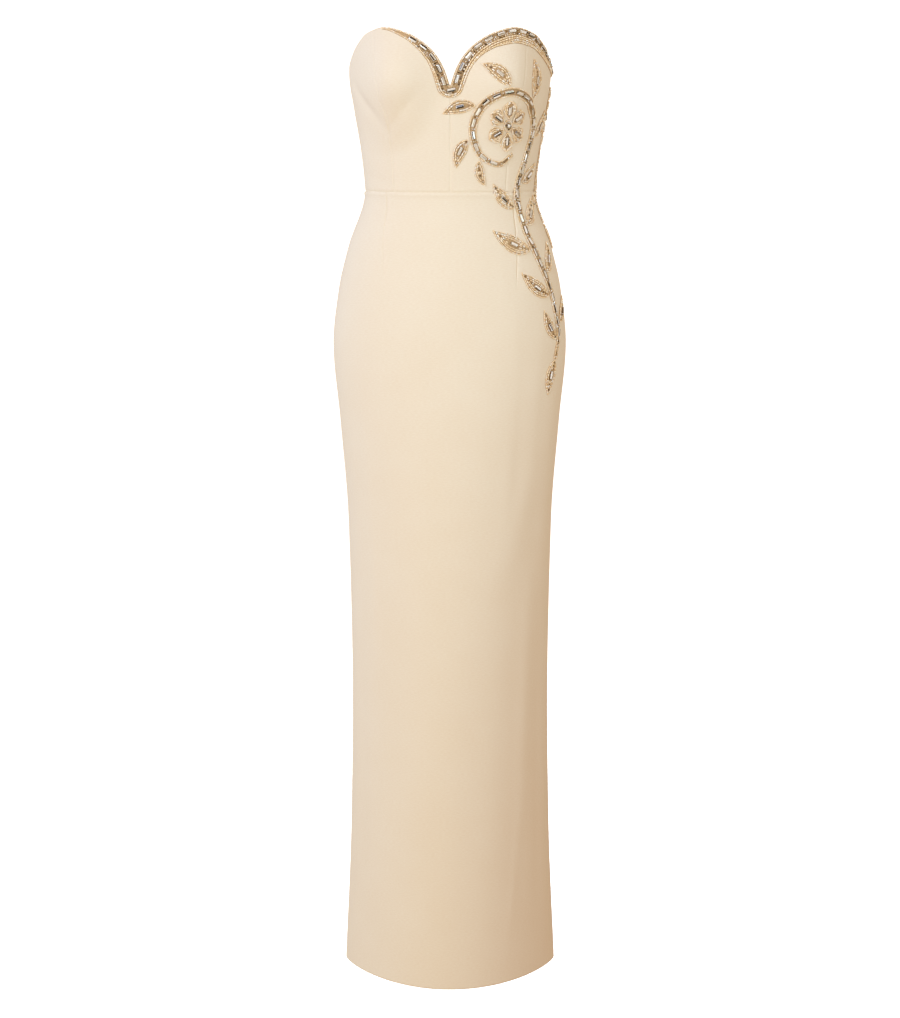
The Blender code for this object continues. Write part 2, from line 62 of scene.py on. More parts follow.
# The figure's level sections. half_width is half the width from side to side, front and back are the
# depths from the middle. A fold of 1 is a half ellipse, and more draws it to a fold at the side seam.
Section = namedtuple("Section", "height half_width front back front_fold back_fold")
SECTIONS = [
    Section(HEM_HEIGHT, 159.5, 130.0, 122.0, 1.56, 1.54),
    Section(-940.0, 149.5, 124.0, 116.0, 1.48, 1.46),
    Section(-720.0, 146.0, 121.0, 114.0, 1.38, 1.36),
    Section(-480.0, 149.5, 121.0, 119.0, 1.24, 1.22),
    Section(-330.0, 160.0, 121.0, 129.0, 1.14, 1.12),
    Section(-220.0, 169.0, 118.0, 135.0, 1.08, 1.06),
    Section(-140.0, 160.5, 112.0, 124.0, 1.04, 1.04),
    Section(-80.0, 146.5, 104.0, 109.0, 1.02, 1.02),
    Section(0.0, 122.5, 95.0, 88.0, 1.00, 1.00),
    Section(55.0, 127.5, 99.0, 92.0, 1.00, 1.00),
    Section(110.0, 136.5, 106.0, 97.0, 1.00, 1.00),
    Section(165.0, 144.0, 110.0, 101.0, 1.00, 1.00),
    Section(235.0, 140.5, 106.0, 104.0, 1.00, 1.00),
]

# The sweetheart top edge, from the dip at the centre front over the cup and down to the back
EdgePoint = namedtuple("EdgePoint", "turn height")
NECKLINE = [
    EdgePoint(0.0, 147.0),
    EdgePoint(3.0, 169.0),
    EdgePoint(8.0, 190.0),
    EdgePoint(15.0, 206.0),
    EdgePoint(25.0, 219.0),
    EdgePoint(40.0, 227.0),
    EdgePoint(55.0, 220.0),
    EdgePoint(68.0, 203.0),
    EdgePoint(80.0, 184.0),
    EdgePoint(90.0, 172.0),
    EdgePoint(115.0, 157.0),
    EdgePoint(145.0, 146.0),
    EdgePoint(180.0, 141.0),
]

# The princess seam, from the waist up over the outer side of the cup
SeamPoint = namedtuple("SeamPoint", "height turn")
PRINCESS = [
    SeamPoint(0.0, 40.4),
    SeamPoint(50.0, 39.9),
    SeamPoint(88.0, 40.9),
    SeamPoint(130.0, 45.0),
    SeamPoint(170.0, 46.8),
    SeamPoint(230.0, 49.4),
]

# Each cup stands out from the chest, falling to nothing at these reaches from its fullest point
CUP_ACROSS = 90.0
CUP_HEIGHT = 152.0
CUP_DEPTH = 30.0
CUP_REACH_IN = 82.0
CUP_REACH_OUT = 52.0
CUP_REACH_UP = 107.0
CUP_REACH_DOWN = 106.0

# Soft folds and creases in the cloth. Each runs from one place to another; spread is its half width and
# depth how far it stands out, or sinks in where it is below zero. FOLD_FADE shapes how it dies away
# towards its ends.
FOLD_FADE = 0.8
Fold = namedtuple("Fold", "turn height end_turn end_height spread depth")
FOLDS = [
    # The skirt's front and left side, its right side, and its back
    Fold(38.5, -185.0, 39.0, -480.0, 10.0, -0.5),
    Fold(50.0, -190.0, 49.0, -440.0, 10.0, 0.5),
    Fold(66.0, -235.0, 65.0, -600.0, 24.0, 1.8),
    Fold(62.0, -330.0, 22.0, -590.0, 26.0, 1.6),
    Fold(33.5, -340.0, 30.5, -490.0, 10.0, 0.5),
    Fold(24.2, -60.0, 23.0, -190.0, 9.0, -0.5),
    Fold(35.0, -140.0, 33.0, -250.0, 11.0, 0.5),
    Fold(52.5, -520.0, 44.0, -960.0, 15.0, 1.8),
    Fold(48.0, -840.0, 31.0, -1140.0, 7.0, 0.6),
    Fold(64.0, -620.0, 58.0, -1130.0, 13.0, -0.9),
    Fold(14.0, -620.0, 11.0, -1150.0, 24.0, -0.7),
    Fold(-16.0, -260.0, -12.0, -960.0, 26.0, 0.5),
    Fold(-33.0, -470.0, -29.0, -1110.0, 20.0, -0.8),
    Fold(-50.0, -180.0, -47.0, -760.0, 15.0, 0.8),
    Fold(-63.0, -540.0, -59.0, -1140.0, 15.0, -0.8),
    Fold(-84.0, -20.0, -82.0, -560.0, 24.0, 1.2),
    Fold(122.0, -260.0, 128.0, -900.0, 20.0, -1.3),
    Fold(146.0, -330.0, 152.0, -1060.0, 20.0, 1.4),
    Fold(168.0, -300.0, 169.0, -760.0, 15.0, -1.0),
    Fold(-118.0, -300.0, -125.0, -980.0, 19.0, 1.2),
    Fold(-140.0, -240.0, -147.0, -900.0, 21.0, -1.4),
    Fold(-166.0, -320.0, -169.0, -880.0, 17.0, 1.1),
    # Below the waist seam in front, and up the right side of the bodice
    Fold(60.0, -8.0, 20.0, -26.0, 7.0, -0.5),
    Fold(-66.0, -10.0, -26.0, -34.0, 7.0, -0.6),
    Fold(-70.0, 22.0, -42.0, 12.0, 6.0, -0.5),
    Fold(-72.0, 62.0, -50.0, 44.0, 7.0, -0.5),
    # The creases under the right cup, and under the left
    Fold(-74.0, 156.0, -41.0, 74.0, 9.0, -2.7),
    Fold(-43.0, 78.0, -14.0, 148.0, 9.0, -1.5),
    Fold(-66.0, 82.0, -8.0, 136.0, 29.0, -3.6),
    Fold(68.0, 146.0, 42.0, 80.0, 9.0, -1.9),
    Fold(44.0, 80.0, 17.0, 146.0, 9.0, -1.3),
    Fold(64.0, 82.0, 10.0, 132.0, 28.0, -2.9),
    # The bodice back, and the skirt back's top
    Fold(104.0, 24.0, 150.0, 12.0, 6.0, -0.6),
    Fold(-104.0, 30.0, -148.0, 14.0, 6.0, -0.6),
    Fold(118.0, 84.0, 150.0, 66.0, 8.0, -0.5),
    Fold(-112.0, 78.0, -150.0, 64.0, 8.0, -0.5),
    Fold(112.0, -16.0, 150.0, -34.0, 8.0, -0.6),
    Fold(-114.0, -18.0, -152.0, -30.0, 8.0, -0.6),
]

# Darts, sewn from the waist seam down to a point
Dart = namedtuple("Dart", "turn end_turn end_height depth")
DARTS = [
    Dart(47.3, 36.2, -131.0, 2.8),
    Dart(-47.3, -36.2, -131.0, 0.9),
    Dart(140.0, 147.0, -150.0, 1.6),
    Dart(-140.0, -147.0, -150.0, 2.0),
]
DART_SPREAD = 0.9
DART_FADE = 0.4

# How the cloth turns in at an upright seam, at the waist seam, and at the neckline and hem
SEAM_DEPTH = 0.5
SEAM_SPREAD = 1.3
WAIST_DEPTH = 1.2
WAIST_SPREAD = 1.7
EDGE_DEPTH = 0.75
EDGE_SPREAD = 1.1

# The stitches draw the seams up a little, which gives faint uneven puckers beside them, of two lengths
# in mm to a radian. Within a few degrees of the side seams the cloth is pressed flattest.
PUCKER_DEPTH = 0.25
PUCKER_SHORT = 7.3
PUCKER_LONG = 17.9
PUCKER_SHIFT = 1.3
SIDE_PRESSING = 0.65
SIDE_PRESSING_SPREAD = 4.0

# Below the waist seam the pressed turnings inside lift the skirt a little
TURNING_LIFT = 1.3
TURNING_AT = 3.6
TURNING_SPREAD = 2.1

# What each cut piece is as flat cloth: its width and length in metres, its area in square metres, and
# how it is held
Flat = namedtuple("Flat", "size area held")

# The rows and columns of points lie closer together towards the centre front and the waist
CENTRE_CROWDING = 1.2
WAIST_CROWDING = 1.5
GRID_PASSES = 14

# An edge of the cloth that turns by more than this many degrees stays sharp
SHARP_ANGLE = 50

# Beadwork. A place on it is (girth, height), where girth is the turn in radians times this radius.
CHART_RADIUS = 130.0
CHART_GIRTHS = (-110.0, 240.0)
CHART_HEIGHTS = (-310.0, 240.0)
CHART_STEP = 1.0
EDGE_MARGIN = 1.0
BEAD_SPACE = 0.9

# The band along the neckline, from the top of the right cup to just past the left side seam. At the
# centre front dip it turns round on a fan, within this turn of the middle.
BAND_DIP_TURN = 1.2
BAND_FAN_STEPS = 26
BandPoint = namedtuple("BandPoint", "turn width")
BAND = [
    BandPoint(-42.0, 2.5),
    BandPoint(-28.0, 7.0),
    BandPoint(-10.0, 13.0),
    BandPoint(0.0, 16.0),
    BandPoint(15.0, 18.0),
    BandPoint(40.0, 22.0),
    BandPoint(70.0, 18.0),
    BandPoint(100.0, 5.0),
]

StemPoint = namedtuple("StemPoint", "girth height width")
MAIN_STEM = [
    StemPoint(143.0, -238.0, 7.0),
    StemPoint(152.0, -198.0, 9.0),
    StemPoint(146.0, -150.0, 11.0),
    StemPoint(130.0, -100.0, 12.5),
    StemPoint(115.0, -50.0, 13.5),
    StemPoint(114.0, 0.0, 14.0),
    StemPoint(128.0, 42.0, 14.0),
    StemPoint(140.0, 84.0, 14.0),
    StemPoint(124.0, 122.0, 13.5),
    StemPoint(86.0, 138.0, 13.0),
    StemPoint(47.0, 123.0, 12.5),
    StemPoint(31.0, 88.0, 11.5),
    StemPoint(43.0, 53.0, 10.0),
    StemPoint(74.0, 39.0, 8.5),
    StemPoint(98.0, 53.0, 6.0),
]
SIDE_STEM = [
    StemPoint(196.0, 146.0, 9.0),
    StemPoint(204.0, 110.0, 9.0),
    StemPoint(199.0, 70.0, 8.5),
    StemPoint(187.0, 32.0, 8.0),
    StemPoint(182.0, -8.0, 7.5),
    StemPoint(190.0, -46.0, 6.0),
]

# Leaves up each stem. along is the share of the stem's points, side is 1 on its right-hand side as it
# runs, lean is the angle from the stem and bow is how far the middle bends aside.
Leaf = namedtuple("Leaf", "along side length width lean bow")
MAIN_LEAVES = [
    Leaf(0.00, 1, 50.0, 20.0, 178.0, 3.0),
    Leaf(0.05, -1, 46.0, 19.0, 38.0, 3.0),
    Leaf(0.09, 1, 44.0, 18.0, 42.0, 3.0),
    Leaf(0.15, -1, 56.0, 23.0, 40.0, 4.0),
    Leaf(0.19, 1, 46.0, 20.0, 44.0, 3.0),
    Leaf(0.245, -1, 62.0, 26.0, 42.0, 5.0),
    Leaf(0.29, 1, 48.0, 21.0, 42.0, 3.0),
    Leaf(0.325, -1, 50.0, 22.0, 48.0, 4.0),
    Leaf(0.385, 1, 46.0, 20.0, 36.0, 3.0),
    Leaf(0.49, 1, 46.0, 19.0, 30.0, 3.0),
    Leaf(0.575, 1, 54.0, 23.0, 42.0, 4.0),
    Leaf(0.65, 1, 50.0, 21.0, 42.0, 4.0),
    Leaf(0.735, 1, 44.0, 19.0, 42.0, 4.0),
    Leaf(0.81, 1, 42.0, 18.0, 38.0, 4.0),
    Leaf(0.87, 1, 36.0, 16.0, 36.0, 4.0),
]
SIDE_LEAVES = [
    Leaf(0.12, -1, 36.0, 15.0, 42.0, 3.0),
    Leaf(0.22, 1, 32.0, 13.0, 38.0, 2.0),
    Leaf(0.40, -1, 36.0, 15.0, 42.0, 3.0),
    Leaf(0.66, -1, 34.0, 14.0, 42.0, 3.0),
    Leaf(0.78, 1, 28.0, 12.0, 38.0, 2.0),
    Leaf(1.00, 1, 36.0, 14.0, 0.0, 2.0),
]

BLOSSOM_GIRTH = 86.0
BLOSSOM_HEIGHT = 91.0
BLOSSOM_PETALS = 6
BLOSSOM_CENTRE_RADIUS = 8.0
BLOSSOM_PETAL_REACH = 34.0
BLOSSOM_PETAL_WIDTH = 24.0

# Leaves and petals are pointed ovals, fullest at these shares of their length. A leaf beside its stem
# keeps a little more space than one at the stem's end, because its base slants.
LEAF_FULLEST = 0.44
LEAF_END_WIDTH = 1.0
LEAF_SIDE_SPACE = BEAD_SPACE + 1.5
LEAF_END_SPACE = BEAD_SPACE + 0.5
PETAL_FULLEST = 0.60
PETAL_END_WIDTH = 3.0
OVAL_ROUNDNESS = 0.9
CRYSTAL_SHARE = 0.45
BIG_LEAF_LENGTH = 40.0

# Sizes of what is sewn on: length along its thread, width and height
BUGLE = (4.2, 2.25, 2.1)
SEED = (2.1, 2.3, 2.1)
SMALL_STONE = (2.6, 2.6, 2.2)
BAGUETTE = (12.5, 5.0, 3.0)
CENTRE_STONE = (7.0, 7.0, 3.2)
CENTRE_RING_STONE = (2.4, 2.4, 2.0)
CENTRE_RING_RADIUS = 4.9
CENTRE_RIM_INSET = 1.1
BEAD_GAP = 0.2
CRYSTAL_GAP = 2.4
STONE_SPLIT = 0.1
STEM_GROUND_INSET = 0.8
OVAL_GROUND_SHARE = 0.94
END_MARGIN = 1.0
ROW_PITCH = 2.8
BEAD_TILT = 4.0
GROUND_LIFT = 0.12
GROUND_CROWN = 0.75
GROUND_EDGE = 0.3

# How high above the cloth each kind of bead or stone starts
EDGE_BEAD_LIFT = GROUND_EDGE - 0.1
ROW_BEAD_LIFT = GROUND_EDGE + 0.1
STONE_LIFT = GROUND_CROWN - 0.2
LEAF_STONE_LIFT = GROUND_CROWN - 0.1
LEAF_CRYSTAL_LIFT = GROUND_CROWN + 0.1
CENTRE_STONE_LIFT = GROUND_LIFT + 0.3

# The concealed zip
ZIP_TAPE_WIDTH = 24.0
ZIP_TAPE_WALL = 0.8
ZIP_TAPE_CLEARANCE = 0.8
ZIP_TAPE_TOP = 138.0
ZIP_TAPE_BOTTOM = -180.0
ZIP_TOP = 124.0
TOOTH_PITCH = 1.5
TOOTH_ASIDE = 0.9
TOOTH_SIZE = (3.4, 0.9, 0.85)

# The camera, at the photograph's viewing angle
CAMERA_PLACE = (0.0, -3.2, 0.10)
CAMERA_PITCH = 10.03
CAMERA_LENS = 77.8
CAMERA_SENSOR = 36.0
CAMERA_CLIP_END = 50.0

# Soft lights round the gown, in metres and watts, and the room's own even light
Light = namedtuple("Light", "name place aim size power colour")
LIGHTS = [
    Light("key_softbox", (-1.4, -2.4, 0.95), (0.0, 0.0, 0.0), 1.6, 58.5, "#cbe1ff"),
    Light("left_softbox", (-2.6, 0.6, 0.3), (0.0, 0.0, -0.3), 1.6, 28.0, "#80c0ff"),
    Light("low_left_softbox", (-1.7, -1.8, -1.1), (0.0, 0.0, -0.8), 1.4, 4.6, "#e7ff98"),
    Light("right_softbox", (0.95, -1.0, 0.15), (0.0, 0.0, -0.05), 0.5, 5.6, "#c2edff"),
    Light("back_softbox", (0.4, 3.4, 0.9), (0.0, 0.0, -0.3), 1.8, 114.0, "#cbeaff"),
]
ROOM_COLOUR = "#ffdfc3"
ROOM_STRENGTH = 0.59

# The studio's white sweep, in metres: a level floor, a round bend and a wall, turned all round
SWEEP_FLOOR = -1.62
SWEEP_HOLE = 0.02
SWEEP_FLAT = 4.6
SWEEP_BEND = 2.0
SWEEP_TOP = 6.0
SWEEP_SIDES = 96


def smooth_curve(keys, values):
    """A function of numbers or arrays that runs through (keys, values) and never overshoots them."""
    keys = np.array(keys, float)
    values = np.array(values, float)
    spans = np.diff(keys)
    slopes = np.diff(values) / spans
    tangents = np.concatenate([slopes[:1], np.zeros(len(spans) - 1), slopes[-1:]])
    for n in range(1, len(spans)):
        before, after = slopes[n - 1], slopes[n]
        if before * after > 0.0:
            near = 2 * spans[n] + spans[n - 1]
            far = spans[n] + 2 * spans[n - 1]
            tangents[n] = (near + far) / (near / before + far / after)

    def curve(at):
        at = np.clip(at, keys[0], keys[-1])
        i = np.clip(np.searchsorted(keys, at, side="right") - 1, 0, len(spans) - 1)
        s = (at - keys[i]) / spans[i]
        rise = values[i] * (1 + 2 * s) * (1 - s) ** 2 + values[i + 1] * s * s * (3 - 2 * s)
        bend = tangents[i] * s * (1 - s) ** 2 - tangents[i + 1] * s * s * (1 - s)
        return rise + bend * spans[i]

    return curve


def table_curve(rows, key, value):
    """The smooth curve of one named column of a table against another."""
    return smooth_curve([getattr(row, key) for row in rows], [getattr(row, value) for row in rows])


half_width = table_curve(SECTIONS, "height", "half_width")
front_depth = table_curve(SECTIONS, "height", "front")
back_depth = table_curve(SECTIONS, "height", "back")
front_fold = table_curve(SECTIONS, "height", "front_fold")
back_fold = table_curve(SECTIONS, "height", "back_fold")
edge_height = table_curve(NECKLINE, "turn", "height")
princess = table_curve(PRINCESS, "height", "turn")
band_width = table_curve(BAND, "turn", "width")


def neckline(turn):
    """The height of the top edge, the same on both sides."""
    return edge_height(np.abs(turn))


def cup_depth(across, height):
    """How far a cup stands out from the chest here."""
    out = np.abs(across) - CUP_ACROSS
    up = height - CUP_HEIGHT
    reach_across = np.where(out > 0, CUP_REACH_OUT, CUP_REACH_IN)
    reach_up = np.where(up > 0, CUP_REACH_UP, CUP_REACH_DOWN)
    r = np.hypot(out / reach_across, up / reach_up)
    return CUP_DEPTH * np.clip(1.0 - r * r, 0.0, None) ** 2


def figure_point(turn, height, inset=0.0):
    """Points of the smooth figure, or of the face inset by a wall."""
    angle = np.radians(turn)
    wide = half_width(height)
    across = (wide - inset) * np.sin(angle)
    narrow = np.abs(np.cos(angle))
    cup = cup_depth(wide * np.sin(angle), height)
    front = -(front_depth(height) - inset) * narrow ** front_fold(height) - cup
    back = (back_depth(height) - inset) * narrow ** back_fold(height)
    depth = np.where(np.abs(turn) <= 90.0, front, back)
    return np.stack([across, depth, height + 0.0 * depth], axis=-1)


def unit(vectors):
    """The vectors at length one."""
    return vectors / np.maximum(np.linalg.norm(vectors, axis=-1, keepdims=True), 1e-9)


def outward(turn, height):
    """The outward directions square to the figure."""
    step_turn, step_height = 0.5, 1.0
    along = figure_point(turn + step_turn, height) - figure_point(turn - step_turn, height)
    up = figure_point(turn, height + step_height) - figure_point(turn, height - step_height)
    return unit(np.cross(along, up))


def seen_from_line(turn, height, start, end):
    """How far places lie from a line on the cloth, and the share of the line that they are beside."""
    radius = half_width(height)
    across = np.radians(turn - start[0]) * radius
    up = height - start[1]
    run_across = math.radians(end[0] - start[0]) * radius
    run_up = end[1] - start[1]
    share = (across * run_across + up * run_up) / (run_across**2 + run_up**2)
    beside = np.clip(share, 0.0, 1.0)
    return np.hypot(across - run_across * beside, up - run_up * beside), share


def relief(turn, height):
    """How far the cloth stands out from the figure, in its folds and darts."""
    stands = np.zeros(np.broadcast(turn, height).shape)
    for fold in FOLDS:
        away, share = seen_from_line(turn, height, fold[:2], fold[2:4])
        fade = np.sin(np.pi * np.clip(share, 0.0, 1.0)) ** FOLD_FADE
        stands += fold.depth * fade * np.exp(-((away / fold.spread) ** 2))
    for dart in DARTS:
        end = (dart.end_turn, dart.end_height)
        away, share = seen_from_line(turn, height, (dart.turn, 0.0), end)
        fade = (1.0 - np.clip(share, 0.0, 1.0)) ** DART_FADE
        stands -= dart.depth * fade * np.exp(-away / DART_SPREAD) * (height < 0)
    return stands


def cloth_point(turn, height):
    """Points of the cloth's outer face."""
    return figure_point(turn, height) + outward(turn, height) * relief(turn, height)[..., None]


def turn_for(distance, turn, height):
    """The turn that covers this distance along the cloth."""
    step = 0.5
    span = np.linalg.norm(figure_point(turn + step, height) - figure_point(turn - step, height), axis=-1)
    return distance * 2 * step / span


def linear(code):
    """An sRGB hex code as a linear colour."""
    parts = [int(code[n : n + 2], 16) / 255 for n in (1, 3, 5)]
    return [*(c / 12.92 if c <= 0.04045 else ((c + 0.055) / 1.055) ** 2.4 for c in parts), 1.0]


def new_material(name):
    """A material with only its shader and output, and the shader."""
    made = bpy.data.materials.new(name)
    made.use_nodes = True
    return made, made.node_tree.nodes["Principled BSDF"]


def feed(made, node, **links):
    """Feeds a node's inputs, whose names have _ for a space, from these sockets."""
    for name, socket in links.items():
        made.node_tree.links.new(node.inputs[name.replace("_", " ")], socket)


def add_node(made, kind, settings=(), **links):
    """A node of this kind. settings maps its properties, or its inputs by name, to values, and each link
    names one of its inputs, with _ for a space, and gives the socket that feeds it."""
    node = made.node_tree.nodes.new("ShaderNode" + kind)
    for name, value in dict(settings).items():
        if name in node.inputs:
            node.inputs[name].default_value = value
        else:
            setattr(node, name, value)
    feed(made, node, **links)
    return node


def set_shader(shader, **values):
    """Sets a shader's own sockets, whose names have _ for a space."""
    for name, value in values.items():
        shader.inputs[name.replace("_", " ")].default_value = value


def colour_ramp(made, texture, *stops, steps=False):
    """The colour at this texture's value, between stops of (position, hex code)."""
    node = add_node(made, "ValToRGB", Fac=texture)
    if steps:
        node.color_ramp.interpolation = "CONSTANT"
    marks = node.color_ramp.elements
    for mark, (position, colour) in zip((marks[0], marks[1]), (stops[0], stops[-1])):
        mark.position = position
        mark.color = linear(colour)
    for position, colour in stops[1:-1]:
        marks.new(position).color = linear(colour)
    return node.outputs["Color"]


def bead_tones(made, *colours):
    """The tint of each bead or facet, spread evenly between these colours by its own tone."""
    tone = add_node(made, "Attribute", {"attribute_name": "tone"}).outputs["Fac"]
    last = len(colours) - 1
    return colour_ramp(made, tone, *((n / last, colour) for n, colour in enumerate(colours)))


def noise(made, place, size, detail=2.0, **settings):
    """Noise of this size in mm."""
    values = {"Scale": 1 / (size * MM), "Detail": detail, **settings}
    return add_node(made, "TexNoise", values, Vector=place).outputs["Fac"]


def tint_and_bump(made, shader, texture, low, high, strength, depth):
    """The shader's colour and a bump this many mm deep, from one texture: the colour runs from low in
    the bump's hollows to high on its crests, painted shade in the hollows.
    """
    tint = colour_ramp(made, texture, (0.0, low), (1.0, high))
    bump = add_node(made, "Bump", {"Strength": strength, "Distance": depth * MM}, Height=texture)
    feed(made, shader, Base_Color=tint, Normal=bump.outputs["Normal"])


def double_crepe():
    """Double crepe, woven from hard-twisted yarn: matt, with a dry pebbled grain and a faint nap."""
    made, shader = new_material("double_crepe_woven")
    set_shader(shader, Roughness=0.88, Specular_IOR_Level=0.22)
    set_shader(shader, Sheen_Weight=0.12, Sheen_Roughness=0.55, Sheen_Tint=linear("#fff4e2"))
    place = add_node(made, "UVMap", {"uv_map": CLOTH_MAP}).outputs["UV"]
    # Real yarns lie about 0.35 mm apart. The grain is drawn at 1.3 mm, the finest that shows here.
    grain = noise(made, place, 1.3, Roughness=0.6)
    # Each yarn is a little thick and thin, which gives short level slubs 5 mm long
    stretched = add_node(made, "Mapping", {"Scale": (1 / 5.0, 1 / 1.2, 1.0)}, Vector=place)
    slub = noise(made, stretched.outputs["Vector"], 1.0, detail=1.0, Roughness=0.5)
    both = add_node(made, "Math", {"operation": "ADD"})
    made.node_tree.links.new(both.inputs[0], grain)
    made.node_tree.links.new(both.inputs[1], slub)
    height = both.outputs["Value"]
    bump = add_node(made, "Bump", {"Strength": 0.2, "Distance": 0.13 * MM}, Height=height)
    # Dye and light lie a little unevenly over a hand's breadth
    patches = noise(made, place, 70.0)
    tint = colour_ramp(made, patches, (0.3, "#f0e1c8"), (0.7, "#f1e3cb"))
    fine = colour_ramp(made, slub, (0.25, "#fbf8f4"), (0.75, "#ffffff"))
    mixed = add_node(made, "Mix", {"data_type": "RGBA", "blend_type": "MULTIPLY"})
    mixed.inputs["Factor"].default_value = 1.0
    made.node_tree.links.new(mixed.inputs[6], tint)
    made.node_tree.links.new(mixed.inputs[7], fine)
    feed(made, shader, Base_Color=mixed.outputs[2], Normal=bump.outputs["Normal"])
    return made


def gold_lined_glass():
    """Gold-lined glass beads, drawn as tube and cut: warm metal seen through a clear glossy skin."""
    made, shader = new_material("gold_lined_glass_cut")
    set_shader(shader, Metallic=0.1, Roughness=0.28, Coat_Weight=0.4, Coat_Roughness=0.08)
    feed(made, shader, Base_Color=bead_tones(made, "#eece9c", "#f8dcaf", "#ffe7c2", "#fff6e6"))
    return made


def cut_crystal():
    """Foil-backed crystal, ground and polished: flat facets, painted bright or near black at random as
    painted glints and painted dark reflections."""
    made, shader = new_material("foil_backed_crystal_polished")
    set_shader(shader, Metallic=0.2, Roughness=0.14, Coat_Weight=0.3, Coat_Roughness=0.04)
    # The facets' tones are painted reflections: one facet in five or so near black, a painted dark
    # reflection, and the rest in steps of silver up to near white, painted glints
    tone = add_node(made, "Attribute", {"attribute_name": "tone"}).outputs["Fac"]
    stops = ((0.0, "#261c13"), (0.20, "#9c8e74"), (0.32, "#d3c7b0"), (0.52, "#ece3d2"), (0.74, "#fffaf0"))
    feed(made, shader, Base_Color=colour_ramp(made, tone, *stops, steps=True))
    return made


def champagne_stone():
    """Champagne-tinted glass stones, pressed and foil-backed, each one tone picked at random from near
    black
    through champagne to near white: the lightest are painted sparkle, the darkest painted dark
    reflections.
    """
    made, shader = new_material("champagne_glass_pressed")
    set_shader(shader, Metallic=0.3, Roughness=0.14, Coat_Weight=0.6, Coat_Roughness=0.04)
    tint = bead_tones(made, "#33261a", "#a1804f", "#e2c798", "#f8ead0", "#fffdf8")
    feed(made, shader, Base_Color=tint)
    return made


def claw_metal():
    """Antiqued silver plate on stamped brass claws: dull and brown in the hollows."""
    made, shader = new_material("stone_setting_plated")
    set_shader(shader, Metallic=1.0, Roughness=0.38)
    feed(made, shader, Base_Color=bead_tones(made, "#9a7c52", "#c0a071", "#dcc195"))
    return made


def bead_ground():
    """The thread and net under the beads, crossing and matt. Its brown is partly the thread's own and
    partly painted shade in the gaps between the beads, and it is darker in the hollows of its grain,
    painted shade.
    """
    made, shader = new_material("bead_ground_thread")
    set_shader(shader, Roughness=0.8, Sheen_Weight=0.2)
    place = add_node(made, "TexCoord").outputs["Object"]
    tint_and_bump(made, shader, noise(made, place, 1.1), "#ae8a5c", "#d4b285", 0.5, 0.3)
    return made


def zip_tape_weave():
    """Polyester zip tape, woven in a fine level rib and dyed to match the cloth."""
    made, shader = new_material("zip_tape_woven")
    set_shader(shader, Roughness=0.75)
    place = add_node(made, "TexCoord").outputs["Object"]
    # The ribs lie 0.8 mm apart up the tape
    scale = 2 * math.pi / (20 * 0.8 * MM)
    ribs = add_node(made, "TexWave", {"bands_direction": "Z", "Scale": scale}, Vector=place)
    # The tape is painted darker in the grooves between its ribs, painted shade
    tint_and_bump(made, shader, ribs.outputs["Fac"], "#d9c8ab", "#ecdfc8", 0.4, 0.15)
    return made


def zip_enamel():
    """Zinc alloy, die-cast and enamelled to match the cloth: smooth, with a soft gloss and fine pits."""
    made, shader = new_material("zip_metal_enamelled")
    set_shader(shader, Metallic=0.35, Roughness=0.32, Coat_Weight=0.4)
    place = add_node(made, "TexCoord").outputs["Object"]
    # The enamel is painted darker in its pits, painted shade
    tint_and_bump(made, shader, noise(made, place, 0.9), "#d8c4a0", "#ecdcc0", 0.12, 0.1)
    return made


def zip_nylon():
    """Nylon coil teeth, moulded: translucent cream with a slight gloss."""
    made, shader = new_material("zip_teeth_nylon")
    set_shader(shader, Base_Color=linear("#e9dcc3"), Roughness=0.4)
    set_shader(shader, Subsurface_Weight=0.1, Subsurface_Radius=(0.002, 0.0015, 0.001))
    return made


CREPE = double_crepe()
GOLD = gold_lined_glass()
CRYSTAL = cut_crystal()
CHAMPAGNE = champagne_stone()
SETTING = claw_metal()
GROUND = bead_ground()
TAPE = zip_tape_weave()
ENAMEL = zip_enamel()
NYLON = zip_nylon()


def in_scene(name, data):
    """A new object of this data, in the scene."""
    made = bpy.data.objects.new(name, data)
    bpy.context.scene.collection.objects.link(made)
    return made


def new_piece(name, points, faces, materials, node):
    """A mesh object from points in millimetres, which rides on the gown and stands for a node."""
    mesh = bpy.data.meshes.new(name)
    mesh.from_pydata((np.asarray(points) * MM).tolist(), [], faces)
    for finish in materials:
        mesh.materials.append(finish)
    made = in_scene(name, mesh)
    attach(made, BODY)
    if node:
        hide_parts(node)
    return made


def sheet_faces(rows, columns, start=0):
    """The faces of a closed sheet between two grids of points, the outer one first."""
    outer = np.arange(rows * columns).reshape(rows, columns) + start
    inner = outer + rows * columns
    top = np.stack([outer[:-1, :-1], outer[:-1, 1:], outer[1:, 1:], outer[1:, :-1]], axis=-1)
    under = np.stack([inner[:-1, :-1], inner[1:, :-1], inner[1:, 1:], inner[:-1, 1:]], axis=-1)
    faces = top.reshape(-1, 4).tolist() + under.reshape(-1, 4).tolist()

    def rim(grid):
        return np.concatenate([grid[0, :-1], grid[:-1, -1], grid[-1, :0:-1], grid[:0:-1, 0]])

    edge, back = rim(outer), rim(inner)
    sides = np.stack([np.roll(edge, -1), edge, back, np.roll(back, -1)], axis=-1)
    return faces + sides.tolist()


def both_faces(outer, inner):
    """The points of a closed sheet, those of its outer face first."""
    return np.concatenate([outer.reshape(-1, 3), inner.reshape(-1, 3)])


def round_off(made):
    """Shades a mesh smooth, apart from its sharp edges."""
    made.data.shade_smooth()
    made.data.set_sharp_from_angle(angle=math.radians(SHARP_ANGLE))


